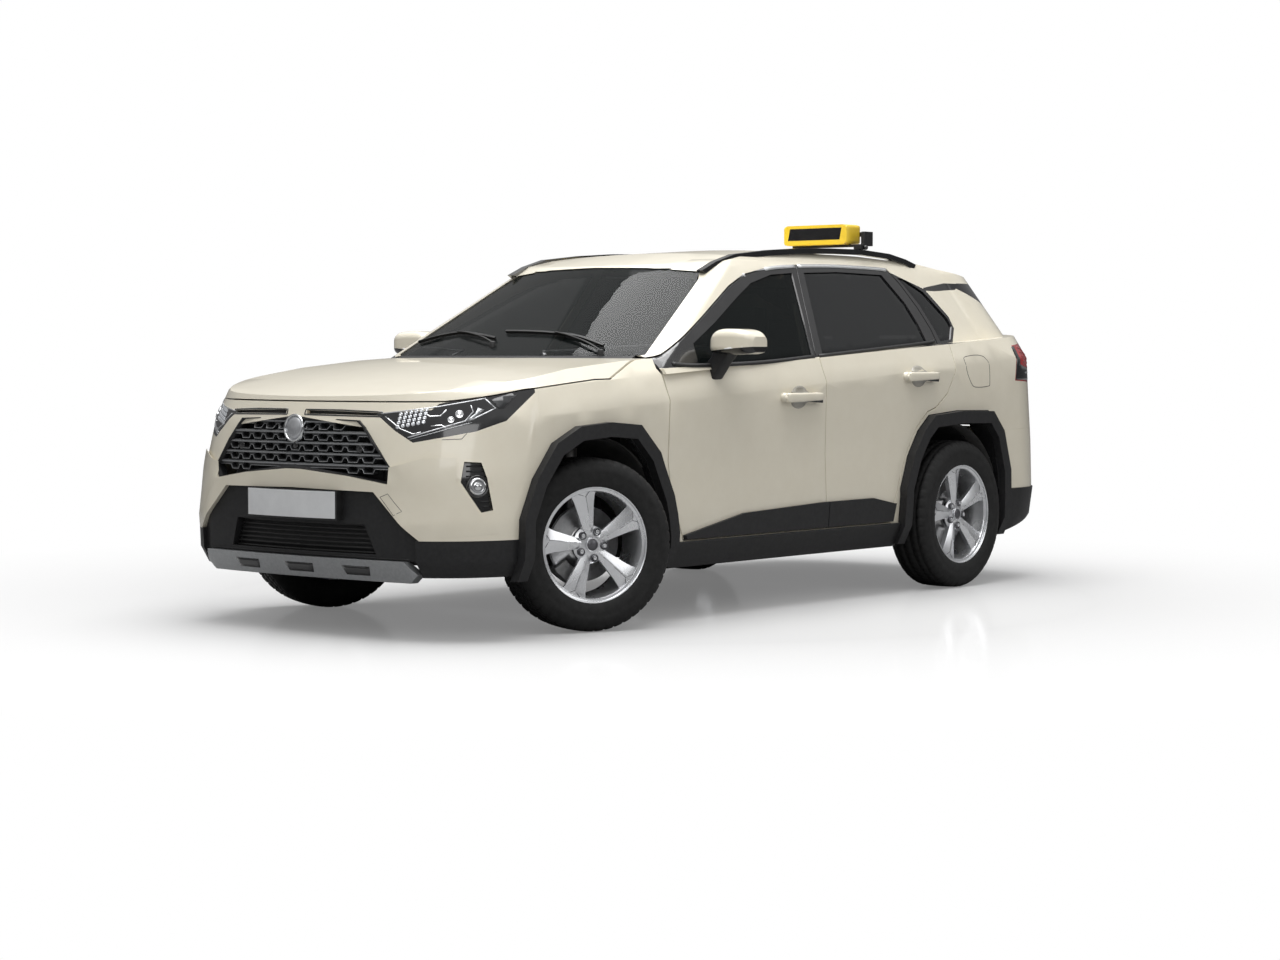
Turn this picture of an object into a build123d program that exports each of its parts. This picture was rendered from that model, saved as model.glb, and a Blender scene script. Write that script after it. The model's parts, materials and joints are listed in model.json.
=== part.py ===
from build123d import *
import math
import os

# Compact hybrid sport utility taxi. Millimetres, ground at z = 0, nose towards -Y,
# the car's left side towards +X, origin under the middle of the car.
os.makedirs("parts", exist_ok=True)

# Driving sizes
HALF_LENGTH = 2300
HALF_WIDTH = 927.5
FRONT_AXLE_Y = -1375
REAR_AXLE_Y = 1315
AXLE_Z = 363.5
TYRE_RADIUS = 363.5
TYRE_WIDTH = 225
RIM_RADIUS = 243
HALF_TRACK_FRONT = 802.5
HALF_TRACK_REAR = 812.5
KINGPIN_X = 757.5
STEER_REST = -22.3
SHUT_GAP = 6
DOOR_DEPTH = 96
FRAME_DEPTH = 42
SKIN_LOW = 24
SKIN_HIGH = 15
DOOR_INSET = 34
DOOR_SLANT = 0.32
REFERENCE_X = 890
BONNET_DEPTH = 30
BONNET_WALL = 22
SCUTTLE_Y = -945
BONNET_AXIS_Y = -958
TAIL_AXIS_Y = 1600
TAIL_AXIS_Z = 1612
TAIL_INSET = 22
SEAT_GAP = 0.3
ARCH_RADIUS = 425

# Level sections, from the sill up. height at mid-length, rise per mm rearward, nose y,
# nose corner x and y, front side x and y, mid side x, rear side x and y, tail corner
# x and y, tail y
LOWER = [
    (228, 0.0, -2225, 585, -2190, 836, -1890, 820, 832, 1830, 600, 2200, 2235),
    (330, 0.0, -2280, 600, -2243, 882, -1900, 868, 884, 1870, 640, 2245, 2285),
    (470, 0.0, -2294, 575, -2262, 890, -1900, 880, 890, 1890, 665, 2255, 2298),
    (690, 0.01, -2300, 520, -2256, 892, -1860, 878, 889, 1890, 670, 2235, 2292),
    (1012, 0.06, -2288, 450, -2230, 888, -1800, 895, 878, 1880, 665, 2195, 2262),
    (1125, 0.06, -2252, 425, -2194, 848, -1750, 858, 822, 1830, 640, 2140, 2205),
    (1230, 0.06, -2190, 380, -2120, 748, -1690, 772, 745, 1740, 590, 2040, 2110),
]
GREEN = [
    (1020, 0.0, -1361, 832, -1140, 900, -1062, 902, 842, 1812, 770, 2202, 2318),
    (1560, 0.0, -396, 575, -252, 627, -180, 622, 606, 1560, 560, 1845, 1925),
    (1612, 0.0, -322, 545, -182, 590, -110, 588, 575, 1560, 535, 1840, 1930),
    (1685, 0.0, -200, 480, -80, 520, 0, 519, 510, 1560, 470, 1800, 1900),
]
# Crossways sections of the roof and the bonnet. y, height at the middle, fall at x = 1000
ROOF_CROWN = [
    (-1500, 900, 40), (-420, 1556, 55), (-73, 1627, 70), (400, 1657, 80),
    (900, 1654, 80), (1400, 1630, 80), (1950, 1556, 80), (2400, 1480, 80),
]
BONNET_CROWN = [
    (-2330, 966, 34), (-2236, 987, 32), (-2100, 1016, 30), (-1850, 1060, 28),
    (-1500, 1110, 26), (-1150, 1140, 24), (-900, 1152, 22),
]
BELT_LOW = 1125
BELT_RISE = 0.06


def ring(row, inset):
    z0, k, ny, bx, by, cx, cy, mx, rx, ry, tx, ty, ey = row
    i = inset
    nose = (0, ny + i)
    b = (bx - 0.5 * i, by + i)
    c = (cx - i, cy + 0.4 * i)
    e = (rx - i, ry - 0.4 * i)
    d = (mx - i, (c[1] + e[1]) / 2)
    f = (tx - 0.5 * i, ty - i)
    tail = (0, ey - i)

    def bulge(p, q, share):
        return ((p[0] + q[0]) / 2 + share * (q[1] - p[1]), (p[1] + q[1]) / 2 - share * (q[0] - p[0]))

    def at(p, side=1):
        return (side * p[0], p[1], z0 + k * p[1])

    b2c = bulge(b, c, 0.13)
    e2f = bulge(e, f, 0.14)
    return Wire([
        ThreePointArc(at(b, -1), at(nose), at(b)),
        ThreePointArc(at(b), at(b2c), at(c)),
        ThreePointArc(at(c), at(d), at(e)),
        ThreePointArc(at(e), at(e2f), at(f)),
        ThreePointArc(at(f), at(tail), at(f, -1)),
        ThreePointArc(at(f, -1), at(e2f, -1), at(e, -1)),
        ThreePointArc(at(e, -1), at(d, -1), at(c, -1)),
        ThreePointArc(at(c, -1), at(b2c, -1), at(b, -1)),
    ])


def levels(rows, inset=0.0):
    return Solid(loft([Face(ring(row, inset)) for row in rows], ruled=True).wrapped)


def crown(rows, drop=0.0):
    sections = []
    for y, top, fall in rows:
        arc = ThreePointArc((-1100, y, top - drop - 1.21 * fall), (0, y, top - drop),
                            (1100, y, top - drop - 1.21 * fall))
        rest = Polyline((1100, y, top - drop - 1.21 * fall), (1100, y, 0), (-1100, y, 0),
                        (-1100, y, top - drop - 1.21 * fall))
        sections.append(Face(Wire([arc] + rest.edges())))
    return Solid(loft(sections, ruled=True).wrapped)


def box(x0, x1, y0, y1, z0, z1):
    return Pos((x0 + x1) / 2, (y0 + y1) / 2, (z0 + z1) / 2) * Box(abs(x1 - x0), abs(y1 - y0), abs(z1 - z0))


def prism(points, direction):
    return Solid.extrude(Face(Wire.make_polygon(points, close=True)), Vector(*direction))


def side_prism(points, x0, x1, slant=0.0):
    shift = slant * (x0 - REFERENCE_X)
    start = [(x0, y + shift, z) for y, z in points]
    return prism(start, (x1 - x0, slant * (x1 - x0), 0))


def front_prism(points, y0, y1):
    return prism([(x, y0, z) for x, z in points], (0, y1 - y0, 0))


def plan_prism(points, z0, z1):
    return prism([(x, y, z0) for x, y in points], (0, 0, z1 - z0))


def corner_prism(points, near=1500, far=3000):
    # points are (distance across the line of sight to the nose's corner, height)
    across = (0.77, 0.64)
    along = (0.64, -0.77)
    start = [(s * across[0] + near * along[0], s * across[1] + near * along[1], z) for s, z in points]
    return prism(start, ((far - near) * along[0], (far - near) * along[1], 0))


def grow(points, d):
    # mitred offset of a closed outline, outwards for positive d
    n = len(points)
    area = sum(points[i][0] * points[(i + 1) % n][1] - points[(i + 1) % n][0] * points[i][1] for i in range(n))
    turn = 1 if area > 0 else -1
    out = []
    for i in range(n):
        p, q, r = points[i - 1], points[i], points[(i + 1) % n]
        a = (q[0] - p[0], q[1] - p[1])
        b = (r[0] - q[0], r[1] - q[1])
        la, lb = math.hypot(*a), math.hypot(*b)
        na = (turn * a[1] / la, -turn * a[0] / la)
        nb = (turn * b[1] / lb, -turn * b[0] / lb)
        share = 1 + na[0] * nb[0] + na[1] * nb[1]
        share = max(share, 0.6)
        out.append((q[0] + d * (na[0] + nb[0]) / share, q[1] + d * (na[1] + nb[1]) / share))
    return out


def mirrored(shape):
    return mirror(shape, about=Plane.YZ)


def biggest(shape, keep=1):
    solids = sorted(shape.solids(), key=lambda s: -s.volume)[:keep]
    return solids[0] if keep == 1 else Compound(children=solids)


def joined(*shapes):
    out = shapes[0]
    for shape in shapes[1:]:
        out = out + shape
    return out


def belt(y):
    return BELT_LOW + BELT_RISE * y


def arc_block(x0, x1, y, z, r0, r1, a0, a1):
    # a sector of a ring about the axis through (y, z) along x
    steps = [math.radians(a0 + (a1 - a0) * k / 6) for k in range(7)]
    points = [(y + r1 * math.cos(a), z + r1 * math.sin(a)) for a in steps]
    points += [(y + r0 * math.cos(a), z + r0 * math.sin(a)) for a in reversed(steps)]
    return side_prism(points, x0, x1)


ABOVE_BELT = side_prism([(-1500, 1050), (-960, belt(-960)), (2500, belt(2500)), (2500, 2500), (-1500, 2500)],
                        -1300, 1300)
NOSE_SPACE = box(-1300, 1300, -2500, SCUTTLE_Y, 0, 2000)
CABIN_SPACE = box(-1300, 1300, SCUTTLE_Y, 2500, 0, 2500)


def lower_body(inset):
    return (levels(LOWER, inset) & CABIN_SPACE) - ABOVE_BELT


def nose_body(inset, drop=None):
    return levels(LOWER, inset) & NOSE_SPACE & crown(BONNET_CROWN, inset if drop is None else drop)


def green_body(inset):
    return levels(GREEN, inset) & crown(ROOF_CROWN, inset) & ABOVE_BELT


# Bodies at the depths that the panels need
low_0 = lower_body(0)
low_skin = lower_body(SKIN_LOW)
low_flange = lower_body(SKIN_LOW + 6)
low_in = lower_body(DOOR_DEPTH)
high_0 = green_body(0)
high_skin = green_body(SKIN_HIGH)
high_flange = green_body(SKIN_HIGH + 12)
high_in = green_body(FRAME_DEPTH)
nose_0 = nose_body(0)
nose_in = nose_body(36)
BELOW_BELT = side_prism([(-960, 100), (2500, 100), (2500, belt(2500)), (-960, belt(-960))], -1300, 1300)

# Outlines in side view, (y, z), at the reference x. The doors' edges lean with the slant.
FRONT_DOOR = [
    (-820, 350), (-872, 450), (-925, 600), (-939, 700), (-943, 1000), (-943, 1092), (-915, 1135), (-868, 1152),
    (-496, 1319), (-193, 1460), (-33, 1517), (196, 1556), (412, 1570), (204, 1152), (199, 1100), (197, 1011),
    (213, 700), (226, 350),
]
REAR_DOOR = [
    (226, 350), (213, 700), (197, 1011), (199, 1100), (204, 1152), (412, 1570), (731, 1579), (1177, 1574), (1238, 1493),
    (1294, 1380), (1322, 1280), (1322, 1190), (1290, 1060), (1225, 960), (1125, 893), (1050, 872),
    (962, 800), (868, 660), (806, 520), (772, 430), (756, 350),
]
FRONT_WINDOW = [
    (-690, 1112), (-655, 1200), (-424, 1296), (-179, 1408), (-14, 1478), (176, 1521), (352, 1533),
    (182, 1150), (-240, 1124),
]
REAR_WINDOW = [
    (262, 1154), (448, 1536), (731, 1546), (1108, 1540), (1200, 1400), (1226, 1300), (1228, 1216), (800, 1188),
]
QUARTER_WINDOW = [
    (1238, 1530), (1300, 1522), (1420, 1462), (1536, 1330), (1540, 1290), (1470, 1226), (1362, 1216),
    (1356, 1280), (1326, 1392), (1270, 1488),
]
FRONT_ARCH = [
    (-1836, 150), (-1836, 480), (-1770, 620), (-1664, 745), (-1540, 800), (-1360, 812), (-1196, 799), (-1090, 700),
    (-1003, 530), (-962, 380), (-958, 150),
]
REAR_ARCH = [
    (876, 150), (878, 500), (940, 640), (1018, 745), (1085, 797), (1310, 812), (1562, 808), (1632, 735),
    (1690, 560), (1700, 150),
]
DOOR_BOTTOM = 350
BUMPER_SEAM_FRONT = [(-2500, 100), (-2500, 1300), (-1735, 1300), (-1735, 1010), (-1800, 840), (-1800, 700), (-1800, 100)]
BUMPER_SEAM_REAR = [(1700, 100), (1660, 735), (1700, 770), (2500, 782), (2500, 100)]
TAIL_LAMP = [(1855, 1018), (1880, 1196), (2060, 1214), (2500, 1190), (2500, 1020), (2200, 1000)]
BAND_TOP = 412
BAND_BOTTOM = 262
# Outlines in front view, (x, z), right half mirrored by the helper below
BONNET_PLAN_HALF = [(0, -2400), (930, -2400), (930, -1396), (872, -1381), (800, -1110), (780, -1010),
                    (775, -962), (600, -1050), (400, -1128), (200, -1168), (0, -1182)]
BONNET_EDGE = [(-2400, 965), (-2081, 968), (-1960, 986), (-1800, 1015), (-1381, 1052), (-900, 1060)]
GRILLE_HALF = [(40, 900), (377, 860), (430, 800), (535, 682), (509, 634), (300, 664), (40, 686)]
FASCIA_HALF = [(0, 610), (442, 603), (600, 458), (652, BAND_TOP), (652, 328), (0, 328)]
SKID_HALF = [(0, 328), (588, 328), (628, 274), (585, 238), (0, 238)]
SLIT_HALF = [(60, 926), (250, 924), (441, 918), (445, 908), (250, 911), (60, 912)]
TAILGATE_HALF = [(0, 1750), (540, 1750), (545, 1560), (592, 1400), (640, 1240), (622, 1130), (612, 800), (560, 775),
                 (0, 775)]
TAILGATE_SIDE = [(1600, 1760), (1600, 1556), (1740, 1528), (1960, 1240), (2070, 1130), (2070, 700), (2600, 700),
                 (2600, 1760)]
REAR_GLASS_HALF = [(0, 1500), (476, 1492), (560, 1262), (535, 1236), (0, 1236)]
WINDSCREEN_HALF = [(0, 1554), (300, 1548), (556, 1528), (594, 1490), (748, 1152), (726, 1147), (0, 1147)]
HEADLAMP = [(-1102, 916), (-874, 931), (-844, 956), (-657, 994), (-472, 1030), (-466, 1000), (-576, 888), (-697, 846),
            (-947, 802), (-1020, 848)]
FOG_INSERT = [(-741, 727), (-673, 723), (-650, 661), (-626, 533), (-673, 524), (-754, 645)]


def both(half):
    left = [(-x, z) for x, z in reversed(half) if x > 0.01]
    return list(half) + left


def sides(shape):
    return joined(shape, mirrored(shape))


def door_cutter(outline, x0=300, x1=1300):
    return side_prism(outline, x0, x1, DOOR_SLANT)


nodes = {}


def add(name, shape):
    solids = [s for s in shape.solids() if s.volume > 400]
    nodes[name] = solids[0] if len(solids) == 1 else Compound(children=solids)
    print(name, len(solids), round(sum(s.volume for s in solids) / 1e6, 2), "L")


# Doors: a skin over a narrower inner box, so that the frame of the body closes the gap
low_skin_shell = low_0 - low_skin
low_inner_shell = low_skin - low_in
high_skin_shell = high_0 - high_skin
high_inner_shell = high_skin - high_in
low_frame_shell = low_flange - low_in
high_frame_shell = high_flange - high_in
glass_shell = green_body(7) - green_body(12)

cladding_low = levels(LOWER, -17) - levels(LOWER, -1)
CLADDING_BAND = [(-1400, 100), (-1400, 362), (-864, 366), (-418, 449), (178, 471), (581, 473), (760, 440),
                 (1400, 420), (1400, 100)]
left_doors = {}
for name, outline, window in [("door_front", FRONT_DOOR, FRONT_WINDOW), ("door_rear", REAR_DOOR, REAR_WINDOW)]:
    outer = door_cutter(grow(outline, -SHUT_GAP / 2))
    inner = door_cutter(grow(outline, -DOOR_INSET))
    hole = door_cutter(window)
    panel = joined((low_skin_shell & outer), (low_inner_shell & inner), (high_skin_shell & outer),
                   (high_inner_shell & inner)) - hole
    panel = biggest(panel)
    glass = biggest(glass_shell & door_cutter(grow(window, -0.3)))
    trim = cladding_low & outer & side_prism(CLADDING_BAND, 300, 1300)
    left_doors[name] = (panel, glass, trim)

# Hinge pads between the skin and the pillar: door, rear and front ends, bottom and top
pad_shell = low_skin - lower_body(SKIN_LOW + 6 - SEAT_GAP)
HINGE_PADS = [
    ("door_front", -925, -912, 640, 690), ("door_front", -935, -920, 900, 950),
    ("door_rear", 221, 235, 640, 690), ("door_rear", 207, 222, 900, 950),
]
for name, y0, y1, z0, z1 in HINGE_PADS:
    panel, glass, trim = left_doors[name]
    pad = pad_shell & door_cutter([(y0, z0), (y1, z0), (y1, z1), (y0, z1)])
    left_doors[name] = (panel + pad, glass, trim)

HANDLES = [("door_front", -142, 134, 958), ("door_rear", 844, 1103, 1046)]
for name, y0, y1, z in HANDLES:
    panel, glass, trim = left_doors[name]
    x = 893 if name == "door_front" else 886
    grip = box(x + 18, x + 34, y0, y1, z - 14, z + 14)
    feet = box(x - 20, x + 20, y0, y0 + 34, z - 14, z + 14) + box(x - 20, x + 20, y1 - 34, y1, z - 14, z + 14)
    left_doors[name] = (panel + grip + feet, glass, trim)

for name in ["door_front", "door_rear"]:
    panel, glass, trim = left_doors[name]
    add(name + "_left", panel)
    add(name + "_right", mirrored(panel))
    add(name + "_glass_left", glass)
    add(name + "_glass_right", mirrored(glass))
    add(name + "_cladding_left", trim)
    add(name + "_cladding_right", mirrored(trim))

# Body sides: frame behind the doors, sill, pillars, rear quarter
outer_holes = door_cutter(grow(FRONT_DOOR, SHUT_GAP / 2)) + door_cutter(grow(REAR_DOOR, SHUT_GAP / 2))
inner_holes = door_cutter(grow(FRONT_DOOR, 6 - DOOR_INSET)) + door_cutter(grow(REAR_DOOR, 6 - DOOR_INSET))
side_space = box(420, 1300, SCUTTLE_Y - 5, 2500, 0, 2500)
tail_cut = front_prism(both(TAILGATE_HALF), 1400, 2600) & side_prism(TAILGATE_SIDE, -1300, 1300)
tail_opening = front_prism(grow(both(TAILGATE_HALF), SHUT_GAP), 1400, 2600) & side_prism(
    grow(TAILGATE_SIDE, SHUT_GAP), -1300, 1300)
rear_bumper_space = side_prism(BUMPER_SEAM_REAR, -1300, 1300)
lamp_space = side_prism(TAIL_LAMP, -1300, 1300)
front_arch_cut = side_prism(FRONT_ARCH, -1300, 1300)
rear_arch_cut = side_prism(REAR_ARCH, 470, 1300)
roof_line = box(-1300, 1300, -1400, 2500, 1590, 2500)
quarter_hole = side_prism(grow(QUARTER_WINDOW, 0), 300, 1300, DOOR_SLANT)

low_side = ((low_0 - low_flange) - outer_holes) + (low_frame_shell - inner_holes)
high_side = ((high_0 - high_flange) - outer_holes) + (high_frame_shell - inner_holes)
side = (low_side + high_side) & side_space
side = side - roof_line - quarter_hole - tail_opening - rear_bumper_space - lamp_space - rear_arch_cut
side = side - box(-1300, 1300, -1200, -955, 0, 1060)
side = side - front_prism(grow(WINDSCREEN_HALF, 0.5), -1500, 200)
side = side - (outer_holes & box(300, 1300, -1000, -850, 1085, 1165))
side = side - (outer_holes & box(300, 1300, 1220, 1320, 1188, 1214))
side = biggest(side)
add("body_side_left", side)
add("body_side_right", mirrored(side))
add("quarter_glass", sides(biggest(glass_shell & side_prism(grow(QUARTER_WINDOW, -0.3), 300, 1300, DOOR_SLANT))))

# Roof, windscreen, tail
roof = (high_0 - green_body(30)) & roof_line & box(-1300, 1300, -1400, TAIL_AXIS_Y - SHUT_GAP, 0, 2500)
roof = roof + ((high_0 - green_body(30)) & box(-420, 420, -600, 600, 1545, 1590))
roof = roof - front_prism(both(WINDSCREEN_HALF), -1500, 200)
TAIL_HINGE_X = (300, 340)
TAIL_HINGE_R = 60
for sign in (-1, 1):
    x0, x1 = sign * TAIL_HINGE_X[0], sign * TAIL_HINGE_X[1]
    leaf = arc_block(x0, x1, TAIL_AXIS_Y, TAIL_AXIS_Z, TAIL_HINGE_R - 22, TAIL_HINGE_R - SEAT_GAP, -150, -100)
    roof = roof + (leaf & green_body(4))
add("roof_panel", biggest(roof))
add("windscreen", biggest(glass_shell & front_prism(grow(both(WINDSCREEN_HALF), -0.3), -1500, 200)))

tail_inner_cut = front_prism(grow(both(TAILGATE_HALF), -TAIL_INSET), 1400, 2600) & side_prism(TAILGATE_SIDE, -1300, 1300)
tail_skin = ((low_0 - low_skin) + (high_0 - high_skin)) & tail_cut
tail_inner = ((low_skin - lower_body(70)) + (high_skin - green_body(46))) & tail_inner_cut
tail = (tail_skin + tail_inner) & box(-1300, 1300, TAIL_AXIS_Y, 2500, 0, 2500)
tail = tail - front_prism(both(REAR_GLASS_HALF), 1750, 2600)
for sign in (-1, 1):
    x0, x1 = sign * TAIL_HINGE_X[0], sign * TAIL_HINGE_X[1]
    leaf = arc_block(x0, x1, TAIL_AXIS_Y, TAIL_AXIS_Z, TAIL_HINGE_R, TAIL_HINGE_R + 14, -125, -80)
    tail = tail + leaf + box(x0, x1, TAIL_AXIS_Y, TAIL_AXIS_Y + 14, TAIL_AXIS_Z - TAIL_HINGE_R - 12, 1566)
add("tailgate", biggest(tail))
add("rear_glass", biggest(glass_shell & front_prism(grow(both(REAR_GLASS_HALF), -0.3), 1750, 2600)))
lamps = ((low_0 - lower_body(64)) & lamp_space) - tail_opening
add("tail_lamps", sides(biggest(lamps & box(0, 1300, 0, 3000, 0, 3000))))

# Nose
shell = nose_0 - nose_in
bonnet_over = [(-2400, 1400)] + BONNET_EDGE + [(-900, 1400)]
bonnet_under = [(-2450, 1450)] + [(y, z - SHUT_GAP) for y, z in BONNET_EDGE] + [(-850, 1450)]
bonnet_plan = plan_prism(both(BONNET_PLAN_HALF), 900, 1400) & side_prism(bonnet_over, -1300, 1300)
bonnet_hole = plan_prism(grow(both(BONNET_PLAN_HALF), SHUT_GAP), 900, 1400) & side_prism(bonnet_under, -1300, 1300)
bonnet_body = (nose_0 - nose_body(BONNET_WALL, BONNET_DEPTH)) & bonnet_plan
add("bonnet", biggest(bonnet_body))
bumper_space = side_prism(BUMPER_SEAM_FRONT, -1300, 1300)
lamp_cut = corner_prism(HEADLAMP)
lamp_cut = joined(lamp_cut, mirrored(lamp_cut))
fog_cut = corner_prism(FOG_INSERT)
fog_cut = joined(fog_cut, mirrored(fog_cut))
grille_cut = front_prism(both(GRILLE_HALF), -2600, -1900)
fascia_cut = front_prism(both(FASCIA_HALF), -2600, -1900)
skid_cut = front_prism(both(SKID_HALF), -2600, -1900)
bumper = (shell & bumper_space) - bonnet_hole - lamp_cut - fog_cut - grille_cut - fascia_cut - skid_cut
bumper = bumper - front_arch_cut - front_prism(SLIT_HALF, -2600, -1900)
bumper = bumper - mirrored(front_prism(SLIT_HALF, -2600, -1900))
bumper = bumper - box(-1300, 1300, -2500, -1500, 0, BAND_TOP)
add("front_bumper", biggest(bumper))
fender = (shell - bumper_space - bonnet_hole - lamp_cut - front_arch_cut) & box(300, 1300, -2500, SCUTTLE_Y, 0, 2000)
fender = fender - outer_holes - box(0, 1300, -1500, -900, 0, 352)
fender = biggest(fender)
add("fender_left", fender)
add("fender_right", mirrored(fender))
lamp_shell = nose_0 - nose_body(70, 20)
lamp = biggest(((lamp_shell & lamp_cut) - bonnet_hole) & box(0, 1300, -2600, -1500, 0, 2000))
add("headlamps", sides(lamp))
fog = biggest(((nose_body(14) - nose_body(40)) & fog_cut) & box(0, 1300, -2600, -1500, 0, 2000))
add("fog_lamps", sides(fog))

# Grille: a frame with rows of bars crossed by slanting bars
mesh_shell = nose_body(10) - nose_body(34)
mesh = mesh_shell & grille_cut & box(-1300, 1300, -2600, -1900, 0, 2000)
rows = 6
cells = None
for row in range(rows):
    for column in range(-6, 7):
        x = 92 * column + (46 if row % 2 else 0)
        z = 868 - 40 * row
        cell = front_prism([(x - 40, z), (x - 26, z + 15), (x + 26, z + 15), (x + 40, z), (x + 26, z - 15),
                            (x - 26, z - 15)], -2600, -1900)
        if abs(x) + 60 < 377 + (868 - z) * 0.72:
            cells = cell if cells is None else cells + cell
add("grille", biggest(mesh - cells))
fascia = ((nose_body(18) - nose_body(60)) & fascia_cut) - front_prism([(-430, 350), (430, 350), (380, 470), (-380, 470)],
                                                                     -2600, -1900)
fascia = fascia + ((nose_body(60) - nose_body(74)) & front_prism([(-440, 345), (440, 345), (440, 480), (-440, 480)],
                                                                 -2600, -1900))
band = shell & bumper_space & box(-1300, 1300, -2500, -1500, BAND_BOTTOM, BAND_TOP)
band = band - front_arch_cut - box(-636, 636, -2500, -1500, 0, 1000) - fog_cut
add("front_fascia", biggest(fascia + band))
add("skid_plate", biggest((nose_body(-6) - nose_body(30)) & skid_cut))

# Rear bumper and its black lower part
rear_shell = low_0 - lower_body(40)
rear = (rear_shell & rear_bumper_space & box(-1300, 1300, 1500, 2600, 470, 2000)) - rear_arch_cut
rear = rear - mirrored(rear_arch_cut) - tail_opening
add("rear_bumper", biggest(rear))
rear_low = ((lower_body(-6) - lower_body(42)) & rear_bumper_space & side_prism(
    [(1500, 232), (1760, 240), (2100, 320), (2600, 340), (2600, 470), (1500, 470)], -1300, 1300))
rear_band = side_prism(grow(REAR_ARCH, 61), -1300, 1300)
rear_low = rear_low - rear_band
add("rear_fascia", biggest(rear_low))

# Cladding round the arches and along the sills
flare = (levels(LOWER, -42) - levels(LOWER, -1)) & box(0, HALF_WIDTH, -2400, 2400, 236, 1000)
clads = []
for arch in (FRONT_ARCH, REAR_ARCH):
    band = side_prism(grow(arch, 60), 300, 1300) - side_prism(arch, 300, 1300)
    band = band - box(0, 1300, -2400, 2400, 0, 240)
    piece = (flare & band) - outer_holes
    clads.append(piece)
sill = (levels(LOWER, -17) - levels(LOWER, -1)) & box(300, 1300, -898, 816, 229, 344)
sill = sill - side_prism(grow(FRONT_ARCH, 60), 300, 1300) - side_prism(grow(REAR_ARCH, 60), 300, 1300)
clad = joined(clads[0], clads[1])
add("arch_cladding", sides(clad))
add("sill_cladding", sides(sill))

# Floor with bulkhead, side members, bonnet hinge posts and engine mounts
ENGINE_X = (-300, 330)
floor = box(-720, 720, -940, 840, 300, 340) + box(-528, 528, -1030, 1010, 300, 340)
floor = floor + box(-528, 528, -1030, -1000, 230, 860) + box(-740, 740, -1030, -1000, 830, 1040)
floor = floor + box(-470, 470, -2050, -1030, 300, 340) - box(-380, 380, -2045, -1035, 290, 360)
floor = floor + box(-560, 560, -2090, -2050, 300, 640)
floor = floor + box(-528, 528, 980, 1010, 300, 640)
floor = floor + box(-528, 528, 1010, 2140, 600, 640)
floor = floor + box(-120, 120, -1000, 1010, 340, 420)
for sign in (-1, 1):
    floor = floor + box(sign * 650, sign * 720, -940, 840, 240, 340)
    floor = floor + box(sign * 380, sign * 470, -2050, -1030, 340, 640)
    post = box(sign * 700, sign * 735, -1030, -1000, 1035, 1150)
    floor = floor + (post & nose_body(0, BONNET_DEPTH + SEAT_GAP))
floor = floor + box(ENGINE_X[1], 380, -1570, -1520, 520, 570) + box(-380, ENGINE_X[0], -1570, -1520, 520, 570)
add("floor_pan", biggest(floor))

# Wheel housings
housings = None
for y, x0, depth in ((FRONT_AXLE_Y - 20, 535, 36), (REAR_AXLE_Y - 25, 528, DOOR_DEPTH)):
    ring_tube = Cylinder(ARCH_RADIUS + 16, 865 - x0) - Cylinder(ARCH_RADIUS + 12, 900)
    tube = Pos((865 + x0) / 2, y, AXLE_Z) * Rot(0, 90, 0) * ring_tube
    if y < 0:
        tab = Pos(502.5, y, AXLE_Z) * Rot(0, 90, 0) * (Cylinder(ARCH_RADIUS + 16, 65) - Cylinder(ARCH_RADIUS + 12, 80))
        tube = tube + (tab & box(470, 540, -2000, y - 340, 540, 900))
    tube = tube - box(0, 1300, -3000, 3000, 0, 330)
    piece = tube & levels(LOWER, depth + SEAT_GAP)
    housings = piece if housings is None else housings + piece
add("wheel_housings", sides(housings))

# Cowl under the windscreen
cowl = ((levels(GREEN, 2) - levels(GREEN, 34)) & box(-712, 712, -1500, -960, 1040, 1147))
cowl = cowl - plan_prism(grow(both(BONNET_PLAN_HALF), SHUT_GAP), 1000, 1400)
add("cowl_panel", biggest(cowl))

# Roof rails
rails = None
RAIL = [(-352, 1532), (-250, 1574), (-112, 1611), (153, 1638), (388, 1653), (640, 1660), (897, 1662), (1137, 1648),
        (1280, 1624), (1372, 1600)]
RAIL_HEIGHT = 26
under = [(y, z - RAIL_HEIGHT) for y, z in reversed(RAIL[1:-1])]
rail = side_prism(RAIL + [(1340, 1570)] + under + [(-310, 1510)], 562, 598)
add("roof_rails", sides(rail - green_body(-0.6)))

# Roof sign on its bracket
SIGN_X = 352
SIGN_WIDTH = 376
SIGN_DEPTH = 116
SIGN_HEIGHT = 98
SIGN_BOTTOM = 1688
sign = Pos(SIGN_X, 905 + SIGN_DEPTH / 2, SIGN_BOTTOM + SIGN_HEIGHT / 2) * Rot(90, 0, 0) * extrude(
    RectangleRounded(SIGN_WIDTH, SIGN_HEIGHT, 24), SIGN_DEPTH)
add("roof_sign", sign)
arm = box(SIGN_X - 170, 606, 890, 920, SIGN_BOTTOM - 12, SIGN_BOTTOM)
arm = arm + box(560, 606, 880, 930, RAIL[6][1] + SEAT_GAP, SIGN_BOTTOM)
arm = arm + (box(SIGN_X - 150, SIGN_X - 110, 890, 920, 1600, SIGN_BOTTOM - 10) - green_body(-SEAT_GAP))
arm = arm + box(SIGN_X + 120, 612, 952, 972, SIGN_BOTTOM + 40, SIGN_BOTTOM + 62) + box(
    590, 612, 900, 972, SIGN_BOTTOM - 8, SIGN_BOTTOM + 62) - Pos(SIGN_X, 905 + SIGN_DEPTH / 2, SIGN_BOTTOM
    + SIGN_HEIGHT / 2) * Rot(90, 0, 0) * extrude(RectangleRounded(SIGN_WIDTH, SIGN_HEIGHT, 24), SIGN_DEPTH)
add("sign_bracket", biggest(arm))

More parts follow.
